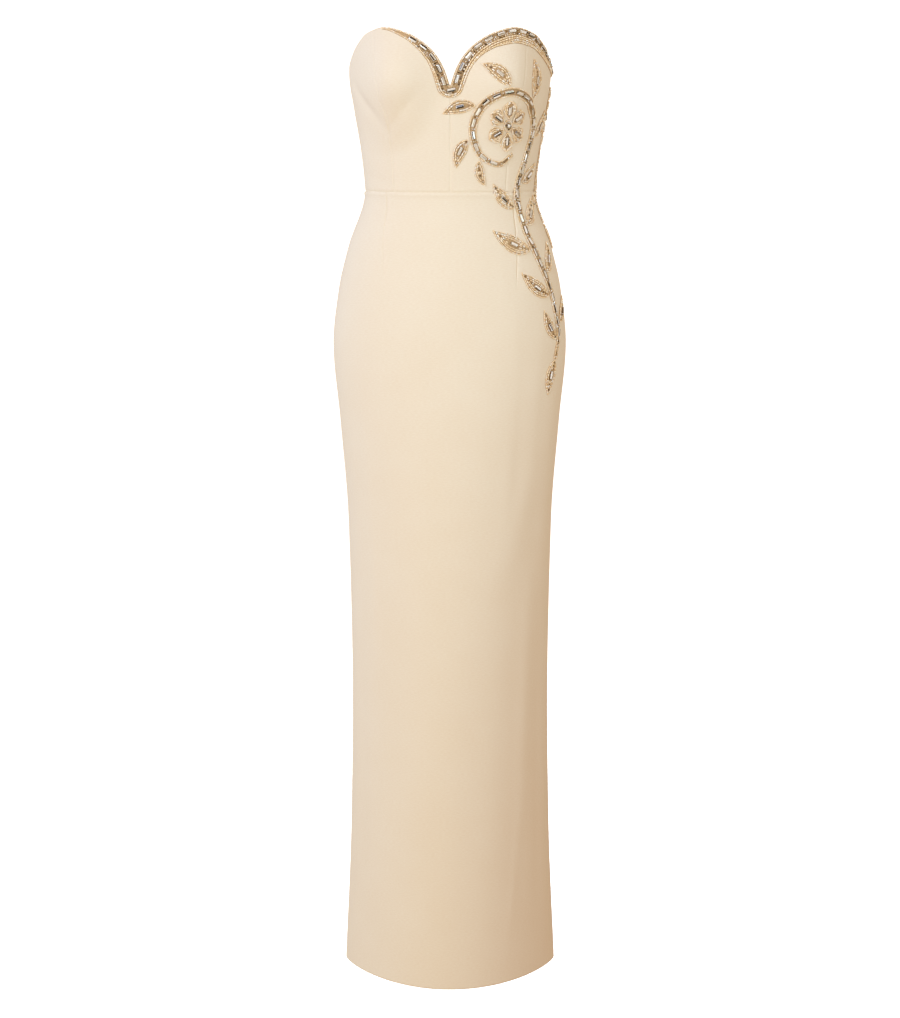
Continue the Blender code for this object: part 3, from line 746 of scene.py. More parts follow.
def crowded(count, places=(), reach=0.02, more=6):
    """Shares from 0 to 1 in count steps, with more of them close beside each of these places."""
    shares = set(np.linspace(0.0, 1.0, count + 1).round(5))
    for place in places:
        near = place + reach * np.linspace(-1.0, 1.0, 2 * more + 1)
        shares.update(near[(near > 0.0) & (near < 1.0)].round(5))
    return np.array(sorted(shares))


def rolled_edge(distance, depth, spread):
    """How far the cloth turns in, at this distance from its edge. It is below zero."""
    return -depth * np.exp(-((distance / spread) ** 2))


def distances(points, axis):
    """The distance of each grid point from the first and last along this axis."""
    steps = np.linalg.norm(np.diff(points, axis=axis), axis=-1)
    along = np.cumsum(steps, axis=axis)
    along = np.concatenate([np.zeros_like(np.take(along, [0], axis=axis)), along], axis=axis)
    return along, np.take(along, [-1], axis=axis) - along


Panel = namedtuple("Panel", "start end bottom top across up wall seam_below darts")


def panel_turn(panel, height, share):
    """The turn at a share of the way across a panel. Columns of points run along its darts."""
    first, last = panel.start(height), panel.end(height)
    whole = panel.end(0.0) - panel.start(0.0)
    shares = [0.0, *((dart.turn - panel.start(0.0)) / whole for dart in panel.darts), 1.0]
    turns = [first]
    for dart in panel.darts:
        down = np.clip(height / dart.end_height, 0.0, 1.0)
        turns.append(dart.turn + (dart.end_turn - dart.turn) * down)
    turns.append(last)
    turn = first
    for a, b, turn_a, turn_b in zip(shares, shares[1:], turns, turns[1:]):
        turn = turn + (turn_b - turn_a) * np.clip((share - a) / (b - a), 0.0, 1.0)
    return turn


def panel_grid(panel):
    """The turns and heights of a panel's points, row by row from the bottom. Each depends on the other,
    so they are found in passes."""
    u, v = np.meshgrid(panel.across, panel.up)
    height = np.full_like(u, panel.bottom)
    for _ in range(GRID_PASSES):
        turn = panel_turn(panel, height, u)
        height = panel.bottom + (panel.top(turn) - panel.bottom) * v
    return turn, height


def make_panel(name, panel):
    """A cut piece of crepe: its outer face turns in at the seams and folded edges."""
    turn, height = panel_grid(panel)
    face = cloth_point(turn, height)
    normal = outward(turn, height)
    from_start, from_end = distances(face, 1)
    from_bottom, from_top = distances(face, 0)
    waves = np.sin(height / PUCKER_SHORT) * np.sin(height / PUCKER_LONG + PUCKER_SHIFT)
    pucker = 1.0 + PUCKER_DEPTH * waves
    dip = rolled_edge(from_start, SEAM_DEPTH, SEAM_SPREAD)
    dip = dip + rolled_edge(from_end, SEAM_DEPTH, SEAM_SPREAD)
    from_side = (np.abs(turn) - 90.0) / SIDE_PRESSING_SPREAD
    pressed = 1.0 - SIDE_PRESSING * np.exp(-(from_side**2))
    dip = dip * pucker * pressed
    if panel.seam_below:
        dip += rolled_edge(from_bottom, WAIST_DEPTH, WAIST_SPREAD)
        dip += rolled_edge(from_top, EDGE_DEPTH, EDGE_SPREAD)
    else:
        dip += rolled_edge(from_bottom, EDGE_DEPTH, EDGE_SPREAD)
        dip += rolled_edge(from_top, WAIST_DEPTH, WAIST_SPREAD)
        dip += rolled_edge(from_top - TURNING_AT, -TURNING_LIFT, TURNING_SPREAD)
    outer = face + normal * dip[..., None]
    inner = face - normal * (panel.wall + 0.0 * dip)[..., None]
    faces = sheet_faces(*turn.shape)
    made = new_piece(name, both_faces(outer, inner), faces, [CREPE], name[len("cloth_") :])
    lay_map(made.data, np.stack([from_start, from_bottom], axis=-1).reshape(-1, 2) * MM)
    round_off(made)


def lay_map(mesh, places):
    """A map of the flat cloth in metres, the same for both its faces."""
    both = np.concatenate([places, places])
    corners = np.empty(len(mesh.loops), dtype=np.int32)
    mesh.loops.foreach_get("vertex_index", corners)
    layer = mesh.uv_layers.new(name=CLOTH_MAP)
    layer.data.foreach_set("uv", both[corners].astype(np.float32).ravel())


def centre_front(side):
    """The edge at the centre front."""
    return lambda height: side * turn_for(SEAM_GAP / 2, 0.0, height)


def princess_edge(side, away):
    """The edge beside the princess seam; away is 1 on its outer side and -1 on its inner."""

    def edge(height):
        turn = princess(height)
        return side * (turn + away * turn_for(SEAM_GAP / 2, turn, height))

    return edge


def side_edge(side, face):
    """The edge at the side seam; face is -1 for a front panel and 1 for a back one."""

    def edge(height):
        depth = front_depth(height) if face < 0 else back_depth(height)
        fold = front_fold(height) if face < 0 else back_fold(height)
        back_off = np.degrees(np.arcsin((SEAM_GAP / 2 / depth) ** (1 / fold)))
        return side * (90.0 + face * back_off)

    return edge


def centre_back(side):
    """The edge at the centre back, which parts a little down the walking slit."""

    def edge(height):
        down = np.clip((SLIT_TOP_HEIGHT - height) / (SLIT_TOP_HEIGHT - HEM_HEIGHT), 0.0, 1.0)
        gap = SEAM_GAP + (SLIT_HEM_GAP - SEAM_GAP) * down * down
        return side * (180.0 - np.degrees(np.arcsin(gap / 2 / half_width(height))))

    return edge


def make_cloth():
    """The nine panels of the gown."""
    waist = SEAM_GAP / 2
    ends = (0.0, 1.0)
    bodice_up = crowded(90, ends, 0.03)
    for side, hand in ((-1, "right"), (1, "left")):
        across = crowded(56, ends, 0.04) ** CENTRE_CROWDING
        centre = Panel(
            centre_front(side), princess_edge(side, -1), waist, neckline,
            across, bodice_up, BODICE_WALL, True, (),
        )
        make_panel(f"cloth_bodice_front_centre_{hand}", centre)
        outer = Panel(
            princess_edge(side, 1), side_edge(side, -1), waist, neckline,
            crowded(48, ends, 0.04), bodice_up, BODICE_WALL, True, (),
        )
        make_panel(f"cloth_bodice_front_side_{hand}", outer)
        back = Panel(
            side_edge(side, 1), centre_back(side), waist, neckline,
            crowded(64, ends, 0.03), crowded(56, ends, 0.04), BODICE_WALL, True, (),
        )
        make_panel(f"cloth_bodice_back_{hand}", back)

    top = -SEAM_GAP / 2

    def skirt_top(turn):
        return top + 0.0 * turn

    # The rows are closest below the waist, where the darts and the hip curve are
    skirt_up = 1.0 - (1.0 - crowded(120, ends, 0.006)) ** WAIST_CROWDING
    front_darts = [dart for dart in reversed(DARTS) if abs(dart.turn) < 90.0]
    dart_shares = [0.5 + dart.turn / 180.0 for dart in front_darts]
    front = Panel(
        side_edge(-1, -1), side_edge(1, -1), HEM_HEIGHT, skirt_top,
        crowded(110, (*ends, *dart_shares), 0.010, 9), skirt_up, SKIRT_WALL, False, front_darts,
    )
    make_panel("cloth_skirt_front", front)
    for side, hand in ((-1, "right"), (1, "left")):
        darts = [dart for dart in DARTS if dart.turn * side > 90.0]
        dart_shares = [abs(dart.turn) / 90.0 - 1.0 for dart in darts]
        back = Panel(
            side_edge(side, 1), centre_back(side), HEM_HEIGHT, skirt_top,
            crowded(54, (*ends, *dart_shares), 0.020, 9), skirt_up, SKIRT_WALL, False, darts,
        )
        make_panel(f"cloth_skirt_back_{hand}", back)


class Chart:
    """The cloth's outer face and its outward directions on an even grid of (girth, height), which the
    beads are placed from."""

    def __init__(self):
        girths = np.arange(CHART_GIRTHS[0], CHART_GIRTHS[1], CHART_STEP)
        heights = np.arange(CHART_HEIGHTS[0], CHART_HEIGHTS[1], CHART_STEP)
        turn, height = np.meshgrid(np.degrees(girths / CHART_RADIUS), heights)
        self.points = cloth_point(turn, height)
        self.normals = outward(turn, height)

    def read(self, places):
        """The cloth's points and outward directions at rows of (girth, height)."""
        across = (places[..., 0] - CHART_GIRTHS[0]) / CHART_STEP
        up = (places[..., 1] - CHART_HEIGHTS[0]) / CHART_STEP
        i, j = up.astype(int), across.astype(int)
        s, t = (up - i)[..., None], (across - j)[..., None]

        def between(grid):
            low = grid[i, j] * (1 - t) + grid[i, j + 1] * t
            high = grid[i + 1, j] * (1 - t) + grid[i + 1, j + 1] * t
            return low * (1 - s) + high * s

        return between(self.points), unit(between(self.normals))


CHART = Chart()


def chart_point(places, lift=0.0):
    """Points on the cloth, or out from it, at rows of (girth, height)."""
    point, normal = CHART.read(places)
    return point + normal * np.asarray(lift)[..., None]


# A bead's form in a box one unit each way that stands on Z = 0, with each face's material and whether
# it is smooth
Form = namedtuple("Form", "points faces finishes smooth")
GOLD_FACE, CRYSTAL_FACE, CHAMPAGNE_FACE, SETTING_FACE, GROUND_FACE = range(5)
BEAD_FINISHES = (GOLD, CRYSTAL, CHAMPAGNE, SETTING, GROUND)


def ring_faces(rings, sides):
    """The faces between each ring of points and the next."""
    faces = []
    for ring in range(rings - 1):
        a, b = ring * sides, (ring + 1) * sides
        for n in range(sides):
            m = (n + 1) % sides
            faces.append((a + n, a + m, b + m, b + n))
    return faces


def closed_rings(rings, sides):
    """The faces of a form made of rings of points, with its two flat ends last."""
    last = (rings - 1) * sides
    return [*ring_faces(rings, sides), tuple(range(sides))[::-1], tuple(range(last, last + sides))]


def turned_form(sides, rings, finish):
    """A bead turned about X, from rings of (x, share of its radius)."""
    angles = [2 * math.pi * n / sides for n in range(sides)]
    points = [(x, 0.5 * r * math.cos(a), 0.5 + 0.5 * r * math.sin(a)) for x, r in rings for a in angles]
    faces = closed_rings(len(rings), sides)
    return Form(np.array(points), faces, [finish] * len(faces), [True] * len(faces))


def stone_form(outline, levels, setting_levels, finish):
    """A cut stone in its setting, from level outlines of (z, share of length, share of width)."""
    count = len(outline)
    points = [(x * long, y * wide, z) for z, long, wide in levels for x, y in outline]
    faces = closed_rings(len(levels), count)
    finishes = [SETTING_FACE] * (setting_levels * count)
    finishes += [finish] * ((len(levels) - 1 - setting_levels) * count)
    finishes += [SETTING_FACE, finish]
    return Form(np.array(points), faces, finishes, [False] * len(faces))


def round_outline(sides):
    """A level circle one unit across."""
    angles = [2 * math.pi * n / sides for n in range(sides)]
    return [(0.5 * math.cos(a), 0.5 * math.sin(a)) for a in angles]


CUT_CORNER = [
    (-0.5, -0.34), (-0.44, -0.5), (0.44, -0.5), (0.5, -0.34),
    (0.5, 0.34), (0.44, 0.5), (-0.44, 0.5), (-0.5, 0.34),
]
BUGLE_FORM = turned_form(7, ((-0.5, 0.62), (-0.46, 1.0), (0.46, 1.0), (0.5, 0.62)), GOLD_FACE)
SEED_RINGS = ((-0.5, 0.45), (-0.34, 0.88), (0.0, 1.0), (0.34, 0.88), (0.5, 0.45))
SEED_FORM = turned_form(7, SEED_RINGS, GOLD_FACE)
RHINESTONE_LEVELS = (
    (0.0, 0.80, 0.80), (0.42, 1.0, 1.0), (0.50, 0.92, 0.92), (0.80, 0.74, 0.74), (1.0, 0.44, 0.44),
)
RHINESTONE_FORM = stone_form(round_outline(8), RHINESTONE_LEVELS, 2, CRYSTAL_FACE)
CHAMPAGNE_FORM = stone_form(round_outline(8), RHINESTONE_LEVELS, 2, CHAMPAGNE_FACE)
BAGUETTE_LEVELS = (
    (0.0, 0.96, 0.90), (0.40, 1.0, 1.0), (0.50, 0.97, 0.92), (0.88, 0.90, 0.66), (1.0, 0.84, 0.06),
)
BAGUETTE_FORM = stone_form(CUT_CORNER, BAGUETTE_LEVELS, 2, CRYSTAL_FACE)


def along_line(line, pitch, margin=0.0):
    """Places at this real pitch along a line of chart places, with their directions on the chart."""
    points = chart_point(line)
    run = np.concatenate([[0.0], np.cumsum(np.linalg.norm(np.diff(points, axis=0), axis=1))])
    length = run[-1] - 2 * margin
    if length < pitch * 0.6:
        return np.empty((0, 2)), np.empty((0, 2))
    count = max(1, round(length / pitch))
    at = margin + (np.arange(count) + 0.5) * length / count
    places = np.stack([np.interp(at, run, line[:, k]) for k in (0, 1)], axis=-1)
    ahead = np.stack([np.interp(at + 0.5, run, line[:, k]) for k in (0, 1)], axis=-1)
    behind = np.stack([np.interp(at - 0.5, run, line[:, k]) for k in (0, 1)], axis=-1)
    return places, unit(ahead - behind)


class Beads:
    """What is sewn on one piece: its points and faces, and each face's finish and tone."""

    def __init__(self):
        self.points, self.faces, self.finishes, self.smooth, self.tones = [], [], [], [], []
        self.count = 0

    def add(self, points, faces, finishes, smooth, tones):
        """Adds one closed form, with one value for each face in each of the last three."""
        self.points.append(points)
        self.faces += [tuple(corner + self.count for corner in face) for face in faces]
        self.finishes += finishes
        self.smooth += smooth
        self.tones.append(tones)
        self.count += len(points)

    def sew(self, form, places, directions, size, lift, tilt=BEAD_TILT):
        """Sews one form at each place, a little unevenly, as beads lie on their thread."""
        if not len(places):
            return
        sizes = np.broadcast_to(np.asarray(size, float), (len(places), 3))
        origin, normal = CHART.read(places)
        origin = origin + normal * lift
        ahead = unit(chart_point(places + directions * 0.5) - chart_point(places - directions * 0.5))
        normal = unit(normal + np.radians(tilt) * RANDOM.normal(size=(len(places), 3)))
        ahead = unit(ahead - normal * np.sum(ahead * normal, axis=-1, keepdims=True))
        aside = np.cross(normal, ahead)
        # Each bead has a tone of its own, and so has each facet of a crystal. The crystals' facet tones
        # are painted glints and painted dark reflections, and so are the small stones' own tones.
        cut = np.equal(form.finishes, CRYSTAL_FACE)
        for n in range(len(places)):
            axes = np.stack([ahead[n], aside[n], normal[n]])
            points = origin[n] + (form.points * sizes[n]) @ axes
            tones = np.where(cut, RANDOM.uniform(size=len(cut)), RANDOM.uniform())
            self.add(points, form.faces, form.finishes, form.smooth, tones)

    def line(self, form, line, size, lift, margin=0.0):
        """Sews one form end to end along a line of chart places."""
        places, directions = along_line(line, size[0] + BEAD_GAP, margin)
        self.sew(form, places, directions, size, lift)

    def ground(self, stations):
        """The sewn ground under the beads, from rows of places across it."""
        rows, columns = stations.shape[:2]
        share = np.linspace(0.0, 1.0, columns)
        lift = GROUND_EDGE + (GROUND_CROWN - GROUND_EDGE) * np.sin(np.pi * share)
        lift = np.broadcast_to(lift, (rows, columns))
        inner = chart_point(stations, np.full((rows, columns), GROUND_LIFT))
        faces = sheet_faces(rows, columns)
        count = len(faces)
        points = both_faces(chart_point(stations, lift), inner)
        self.add(points, faces, [GROUND_FACE] * count, [True] * count, np.zeros(count))

    def finish(self, node):
        """The joined mesh, in place of its node."""
        points = np.concatenate(self.points)
        name = "beads_" + node[len("beaded_") :]
        made = new_piece(name, points, self.faces, BEAD_FINISHES, node)
        made.data.polygons.foreach_set("material_index", np.array(self.finishes, dtype=np.int32))
        made.data.polygons.foreach_set("use_smooth", np.array(self.smooth, dtype=bool))
        tone = made.data.attributes.new("tone", "FLOAT", "FACE")
        tone.data.foreach_set("value", np.concatenate(self.tones).astype(np.float32))
        made.data.update()


def stem_curves(stem):
    """A stem's girth, height and width as functions of the share along its points."""
    keys = np.linspace(0.0, 1.0, len(stem))
    return [smooth_curve(keys, [getattr(point, name) for point in stem]) for name in StemPoint._fields]


def stem_at(stem, share):
    """(place, direction, width) on a stem, at this share along its points."""
    girth, height, width = stem_curves(stem)
    share = np.asarray(share, float)

    def place(at):
        return np.stack([girth(at), height(at)], axis=-1)

    ahead = place(np.minimum(1.0, share + 0.01)) - place(np.maximum(0.0, share - 0.01))
    return place(share), unit(ahead), width(share)


def square_to(direction):
    """The chart directions a quarter turn to the left of these."""
    return np.stack([-direction[..., 1], direction[..., 0]], axis=-1)


def ribbon_stations(place, aside, width, columns=7):
    """Rows of places across a ribbon, which runs through place and is this wide."""
    share = np.linspace(-0.5, 0.5, columns)
    return place[:, None, :] + aside[:, None, :] * (width[:, None] * share)[..., None]


def sew_crystals(work, line, margin):
    """A row of long crystals with two small stones between each and the next."""
    spots, directions = along_line(line, BAGUETTE[0] + SMALL_STONE[0] + CRYSTAL_GAP, margin)
    work.sew(BAGUETTE_FORM, spots, directions, BAGUETTE, STONE_LIFT, tilt=5.0)
    between = (spots[1:] + spots[:-1]) / 2
    turned = unit(directions[1:] + directions[:-1])
    for side in (-1.0, 1.0):
        places = between + square_to(turned) * (SMALL_STONE[1] / 2 + STONE_SPLIT) * side
        work.sew(CHAMPAGNE_FORM, places, turned, SMALL_STONE, STONE_LIFT)


def bead_stem(node, stem):
    """A stem: a row of crystals, small stones and beads beside them, and beads along its edges."""
    work = Beads()
    place, ahead, width = stem_at(stem, np.linspace(0.0, 1.0, 24 * (len(stem) - 1) + 1))
    aside = square_to(ahead)
    work.ground(ribbon_stations(place, aside, width - STEM_GROUND_INSET))
    inset = width / 2 - SEED[1] / 2
    for side in (-1.0, 1.0):
        work.line(SEED_FORM, place + aside * (inset * side)[:, None], SEED, EDGE_BEAD_LIFT)
        room = inset - SEED[1] / 2 - SMALL_STONE[1] / 2
        kept = np.flatnonzero(room > BAGUETTE[1] / 2 + SMALL_STONE[1] / 2 - 0.5)
        if len(kept) > 8:
            line = (place + aside * (room * side)[:, None])[kept[0] : kept[-1] + 1]
            work.line(CHAMPAGNE_FORM, line, SMALL_STONE, ROW_BEAD_LIFT)
    wide = np.flatnonzero(inset - SEED[1] / 2 > BAGUETTE[1] / 2 - 0.6)
    sew_crystals(work, place[wide[0] : wide[-1] + 1], END_MARGIN)
    for line in (place[: wide[0] + 1], place[wide[-1] :]):
        if len(line) > 3:
            work.line(CHAMPAGNE_FORM, line, SMALL_STONE, STONE_LIFT, margin=1.5)
    work.finish(node)


def unbroken(kept):
    """The slices of the unbroken runs, three places long or more, in an array of yes and no."""
    ends = np.flatnonzero(np.diff(np.concatenate([[0], kept.astype(int), [0]])))
    return [slice(a, b) for a, b in zip(ends[::2], ends[1::2]) if b - a > 2]


# A pointed oval on the chart: its base, the directions along and across it, and its sizes
Oval = namedtuple("Oval", "base direction aside length width bow fullest end_width")


def oval_frame(oval, shares):
    """The spine of a pointed oval and its half widths, at shares from its base to its tip."""
    skew = math.log(0.5) / math.log(oval.fullest)
    bowed = oval.aside * (oval.bow * np.sin(np.pi * shares))[:, None]
    spine = oval.base + oval.direction * (oval.length * shares)[:, None] + bowed
    swell = np.sin(np.pi * shares**skew) ** OVAL_ROUNDNESS
    half = (oval.end_width + (oval.width - oval.end_width) * swell) / 2
    return spine, half


def bead_oval(node, oval, with_crystal):
    """A leaf or petal: rows of gold beads that follow its outline, round a middle row of stones."""
    work = Beads()
    shares = np.linspace(0.0, 1.0, 81)
    spine, half = oval_frame(oval, shares)
    across = square_to(unit(np.gradient(spine, axis=0)))
    work.ground(ribbon_stations(spine[::3], across[::3], 2 * half[::3] * OVAL_GROUND_SHARE))
    rim = np.maximum(half - SEED[1] * 0.5, 0.2)
    outline = np.concatenate([spine + across * rim[:, None], (spine - across * rim[:, None])[::-1]])
    work.line(SEED_FORM, outline, SEED, EDGE_BEAD_LIFT)
    # The rows leave room in the middle for a crystal, and for small stones where the last one stops short
    along = oval.length * shares
    crystal_at = oval.length * CRYSTAL_SHARE
    beside = np.abs(along - crystal_at) < BAGUETTE[0] / 2 + BUGLE[0] / 2
    free = np.where(beside & with_crystal, BAGUETTE[1] / 2 + BUGLE[1] / 2, BUGLE[1] / 2)
    inset, last = rim - ROW_PITCH, rim
    while inset.max() > BUGLE[1] / 2:
        kept = inset > free
        for side in (-1.0, 1.0):
            for run in unbroken(kept):
                line = (spine + across * (inset * side)[:, None])[run]
                work.line(BUGLE_FORM, line, BUGLE, ROW_BEAD_LIFT)
        last = np.where(kept, inset, last)
        inset = inset - ROW_PITCH
    if with_crystal:
        n = int(CRYSTAL_SHARE * (len(shares) - 1))
        facing = square_to(across[n : n + 1]) * -1.0
        work.sew(BAGUETTE_FORM, spine[n : n + 1], facing, BAGUETTE, LEAF_CRYSTAL_LIFT, tilt=3.0)
    roomy = (last > (BUGLE[1] + SMALL_STONE[1]) / 2 - 0.3) & ~(beside & with_crystal)
    for run in unbroken(roomy):
        work.line(CHAMPAGNE_FORM, spine[run], SMALL_STONE, LEAF_STONE_LIFT)
    work.finish(node)


def bead_leaf(node, stem, leaf):
    """A leaf, whose base is just clear of its stem."""
    place, ahead, width = stem_at(stem, leaf.along)
    across = np.array([ahead[1], -ahead[0]]) * leaf.side
    lean = math.radians(leaf.lean)
    direction = ahead * math.cos(lean) + across * math.sin(lean)
    aside = across * math.cos(lean) - ahead * math.sin(lean)
    if 0.0 < leaf.along < 1.0:
        base = place + across * (width / 2 + LEAF_SIDE_SPACE)
    else:
        base = place + direction * LEAF_END_SPACE
    sizes = (leaf.length, leaf.width, leaf.bow, LEAF_FULLEST, LEAF_END_WIDTH)
    bead_oval(node, Oval(base, direction, aside, *sizes), leaf.length > BIG_LEAF_LENGTH)


def bead_petal(node, number):
    """A petal, which points out from just clear of the blossom's centre."""
    angle = 2 * math.pi * (number + 0.5) / BLOSSOM_PETALS
    direction = np.array([math.cos(angle), math.sin(angle)])
    base = np.array([BLOSSOM_GIRTH, BLOSSOM_HEIGHT]) + direction * (BLOSSOM_CENTRE_RADIUS + BEAD_SPACE)
    length = BLOSSOM_PETAL_REACH - BLOSSOM_CENTRE_RADIUS - BEAD_SPACE
    sizes = (length, BLOSSOM_PETAL_WIDTH, 0.0, PETAL_FULLEST, PETAL_END_WIDTH)
    bead_oval(node, Oval(base, direction, square_to(direction), *sizes), True)


def bead_centre(node):
    """The blossom's centre: one large stone in rings of small stones and beads."""
    work = Beads()
    middle = np.array([BLOSSOM_GIRTH, BLOSSOM_HEIGHT])
    angles = np.linspace(0.0, 2 * math.pi, 33)
    rings = np.array([0.05, 0.5, 1.0]) * BLOSSOM_CENTRE_RADIUS
    circle = np.stack([np.cos(angles), np.sin(angles)], axis=-1)
    work.ground(middle + rings[None, :, None] * circle[:, None, :])
    level = np.array([[1.0, 0.0]])
    work.sew(RHINESTONE_FORM, middle[None], level, CENTRE_STONE, CENTRE_STONE_LIFT, tilt=0.0)
    ring = middle + circle * CENTRE_RING_RADIUS
    work.line(CHAMPAGNE_FORM, ring, CENTRE_RING_STONE, GROUND_EDGE)
    rim = middle + circle * (BLOSSOM_CENTRE_RADIUS - CENTRE_RIM_INSET)
    work.line(SEED_FORM, rim, SEED, EDGE_BEAD_LIFT)
    work.finish(node)


def band_frame():
    """The top edge's places and the directions in from it, turning round the dip on a fan."""

    def edge_place(turn):
        return np.stack([np.radians(turn) * CHART_RADIUS, neckline(turn)], axis=-1)

    def inwards(turn):
        run = edge_place(turn + 0.2) - edge_place(turn - 0.2)
        return unit(-square_to(run))

    # The places lie closest beside the dip
    left = -np.linspace(BAND_DIP_TURN**0.5, (-BAND[0].turn) ** 0.5, 90)[::-1] ** 2
    right = np.linspace(BAND_DIP_TURN**0.5, BAND[-1].turn ** 0.5, 170) ** 2
    first, last = inwards(left[-1:])[0], inwards(right[:1])[0]
    start, end = math.atan2(first[1], first[0]), math.atan2(last[1], last[0])
    fan = np.linspace(start, end, BAND_FAN_STEPS)[1:-1]
    turned = np.stack([np.cos(fan), np.sin(fan)], axis=-1)
    dip = np.repeat(edge_place(np.zeros(1)), len(fan), 0)
    place = np.concatenate([edge_place(left), dip, edge_place(right)])
    direction = np.concatenate([inwards(left), turned, inwards(right)])
    return place, direction, np.concatenate([left, np.zeros(len(fan)), right])


# The band's rows, each this far below its top and kept where the band is wider by the spare
BandRow = namedtuple("BandRow", "offset form size spare")
BAND_ROWS = [
    BandRow(1.3, SEED_FORM, SEED, 0.9),
    BandRow(9.4, CHAMPAGNE_FORM, SMALL_STONE, 1.2),
    BandRow(12.2, BUGLE_FORM, BUGLE, 1.0),
    BandRow(15.1, BUGLE_FORM, BUGLE, 1.0),
    BandRow(18.0, BUGLE_FORM, BUGLE, 1.0),
    BandRow(20.7, SEED_FORM, SEED, 1.0),
]
BAND_CRYSTAL_OFFSET = 5.3
BAND_CRYSTAL_SPARE = 3.0
BAND_EDGE_INSET = 1.2


def bead_band(node):
    """The neckline's band: seed beads along the top, crystals, then small stones and gold beads where
    it is wide."""
    work = Beads()
    place, direction, turn = band_frame()
    width = band_width(turn)
    shares = np.linspace(0.0, 1.0, 7)
    rows = place[:, None] + direction[:, None] * (EDGE_MARGIN + width[:, None] * shares)[..., None]
    work.ground(rows)

    def row_line(offset, spare):
        kept = np.flatnonzero(width > offset + spare)
        if len(kept) < 6:
            return None
        kept = slice(kept[0], kept[-1] + 1)
        return (place + direction * (EDGE_MARGIN + offset))[kept]

    for row in BAND_ROWS:
        line = row_line(row.offset, row.spare)
        if line is not None:
            work.line(row.form, line, row.size, ROW_BEAD_LIFT)
    # The last beads follow the band's lower edge as it narrows
    narrow = np.maximum(width - BAND_EDGE_INSET, BAND_ROWS[0].offset)
    work.line(SEED_FORM, place + direction * (EDGE_MARGIN + narrow)[:, None], SEED, EDGE_BEAD_LIFT)
    sew_crystals(work, row_line(BAND_CRYSTAL_OFFSET, BAND_CRYSTAL_SPARE), END_MARGIN)
    work.finish(node)


def make_beadwork():
    """All the pieces of beadwork."""
    bead_band("beaded_neck_band")
    for where, stem, leaves in (("main", MAIN_STEM, MAIN_LEAVES), ("side", SIDE_STEM, SIDE_LEAVES)):
        bead_stem(f"beaded_{where}_stem", stem)
        for number, leaf in enumerate(leaves, 1):
            bead_leaf(f"beaded_{where}_leaf_{number:02d}", stem, leaf)
    bead_centre("beaded_blossom_centre")
    for number in range(BLOSSOM_PETALS):
        bead_petal(f"beaded_petal_{number + 1}", number)


def make_zip():
    """The tape and its teeth inside the centre back, and the finish of the slider and pull tab."""
    inset = BODICE_WALL + ZIP_TAPE_CLEARANCE
    rise = np.linspace(ZIP_TAPE_BOTTOM, ZIP_TAPE_TOP, 120)
    reach = turn_for(ZIP_TAPE_WIDTH / 2, 180.0, rise)
    share = np.linspace(-1.0, 1.0, 17)
    turn = 180.0 + reach[:, None] * share
    height = np.broadcast_to(rise[:, None], turn.shape)
    outer = figure_point(turn, height, inset)
    inner = figure_point(turn, height, inset + ZIP_TAPE_WALL)
    points, faces = both_faces(outer, inner), sheet_faces(*turn.shape)
    tape = new_piece("zip_tape_ribbon", points, faces, [TAPE], "zip_tape")
    round_off(tape)

    form = turned_form(8, ((-0.5, 0.7), (-0.42, 1.0), (0.42, 1.0), (0.5, 0.7)), 0)
    points, faces = [], []
    for n, at in enumerate(np.arange(ZIP_TAPE_BOTTOM + 4.0, ZIP_TOP, TOOTH_PITCH)):
        side = 1.0 if n % 2 else -1.0
        spot = figure_point(np.array(180.0), np.array(at), inset + ZIP_TAPE_WALL + TOOTH_SIZE[2])
        size = np.array(TOOTH_SIZE)
        tooth = form.points * size + spot + np.array([side * TOOTH_ASIDE, 0.0, -TOOTH_SIZE[2] / 2])
        faces += [tuple(corner + len(points) for corner in face) for face in form.faces]
        points += tooth.tolist()
    teeth = new_piece("zip_coil_teeth", points, faces, [NYLON], None)
    teeth.data.shade_smooth()
    for node in ("zip_slider", "zip_pull"):
        for place in bpy.data.objects[node].material_slots:
            place.material = ENAMEL


def backlit_paper():
    """White paper, rolled and lit from behind: an even white with no shine and no shadow."""
    made, shader = new_material("background_paper_rolled")
    set_shader(shader, Base_Color=linear("#ffffff"), Roughness=1.0, Specular_IOR_Level=0.0)
    set_shader(shader, Emission_Color=linear("#ffffff"), Emission_Strength=1.0)
    return made


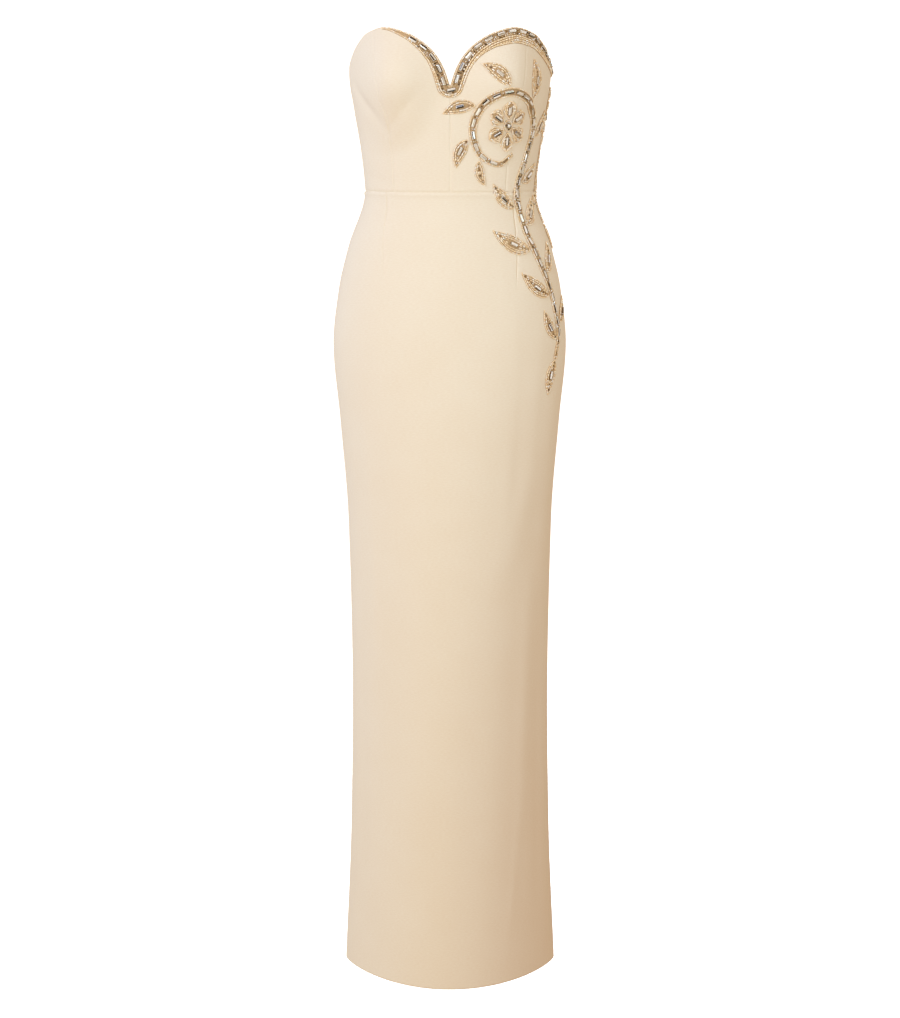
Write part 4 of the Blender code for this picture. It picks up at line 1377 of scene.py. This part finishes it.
def make_studio():
    """A pale floor that sweeps up all round the gown, soft lights, and the camera."""
    profile = [(SWEEP_HOLE, SWEEP_FLOOR), (SWEEP_FLAT * 0.5, SWEEP_FLOOR)]
    for angle in np.linspace(0.0, math.pi / 2, 20):
        out = SWEEP_FLAT + SWEEP_BEND * math.sin(angle)
        profile.append((out, SWEEP_FLOOR + SWEEP_BEND - SWEEP_BEND * math.cos(angle)))
    profile.append((SWEEP_FLAT + SWEEP_BEND, SWEEP_TOP))
    angles = [2 * math.pi * n / SWEEP_SIDES for n in range(SWEEP_SIDES)]
    points = [(r * math.cos(a), r * math.sin(a), z) for r, z in profile for a in angles]
    faces = ring_faces(len(profile), SWEEP_SIDES)
    mesh = bpy.data.meshes.new("studio_sweep")
    mesh.from_pydata(points, [], faces)
    mesh.materials.append(backlit_paper())
    mesh.shade_smooth()
    sweep = in_scene("studio_sweep", mesh)
    # The sweep is only what is seen behind: the lights and the room light the gown
    sweep.visible_diffuse = False
    sweep.visible_glossy = False
    sweep.visible_shadow = False

    world = bpy.data.worlds.new("soft_studio")
    world.use_nodes = True
    set_shader(world.node_tree.nodes["Background"], Color=linear(ROOM_COLOUR), Strength=ROOM_STRENGTH)
    bpy.context.scene.world = world

    for light in LIGHTS:
        data = bpy.data.lights.new(light.name, "AREA")
        data.size = light.size
        data.energy = light.power
        data.color = linear(light.colour)[:3]
        made = in_scene(light.name, data)
        made.location = light.place
        towards = Vector(light.aim) - Vector(light.place)
        made.rotation_euler = towards.to_track_quat("-Z", "Y").to_euler()

    data = bpy.data.cameras.new("camera")
    data.sensor_width = CAMERA_SENSOR
    data.lens = CAMERA_LENS
    data.clip_end = CAMERA_CLIP_END
    camera = in_scene("camera", data)
    camera.location = CAMERA_PLACE
    camera.rotation_euler = (math.pi / 2 - math.radians(CAMERA_PITCH), 0.0, 0.0)
    bpy.context.scene.camera = camera
    bpy.context.scene.view_settings.view_transform = "Standard"


make_studio()
make_cloth()
make_beadwork()
make_zip()
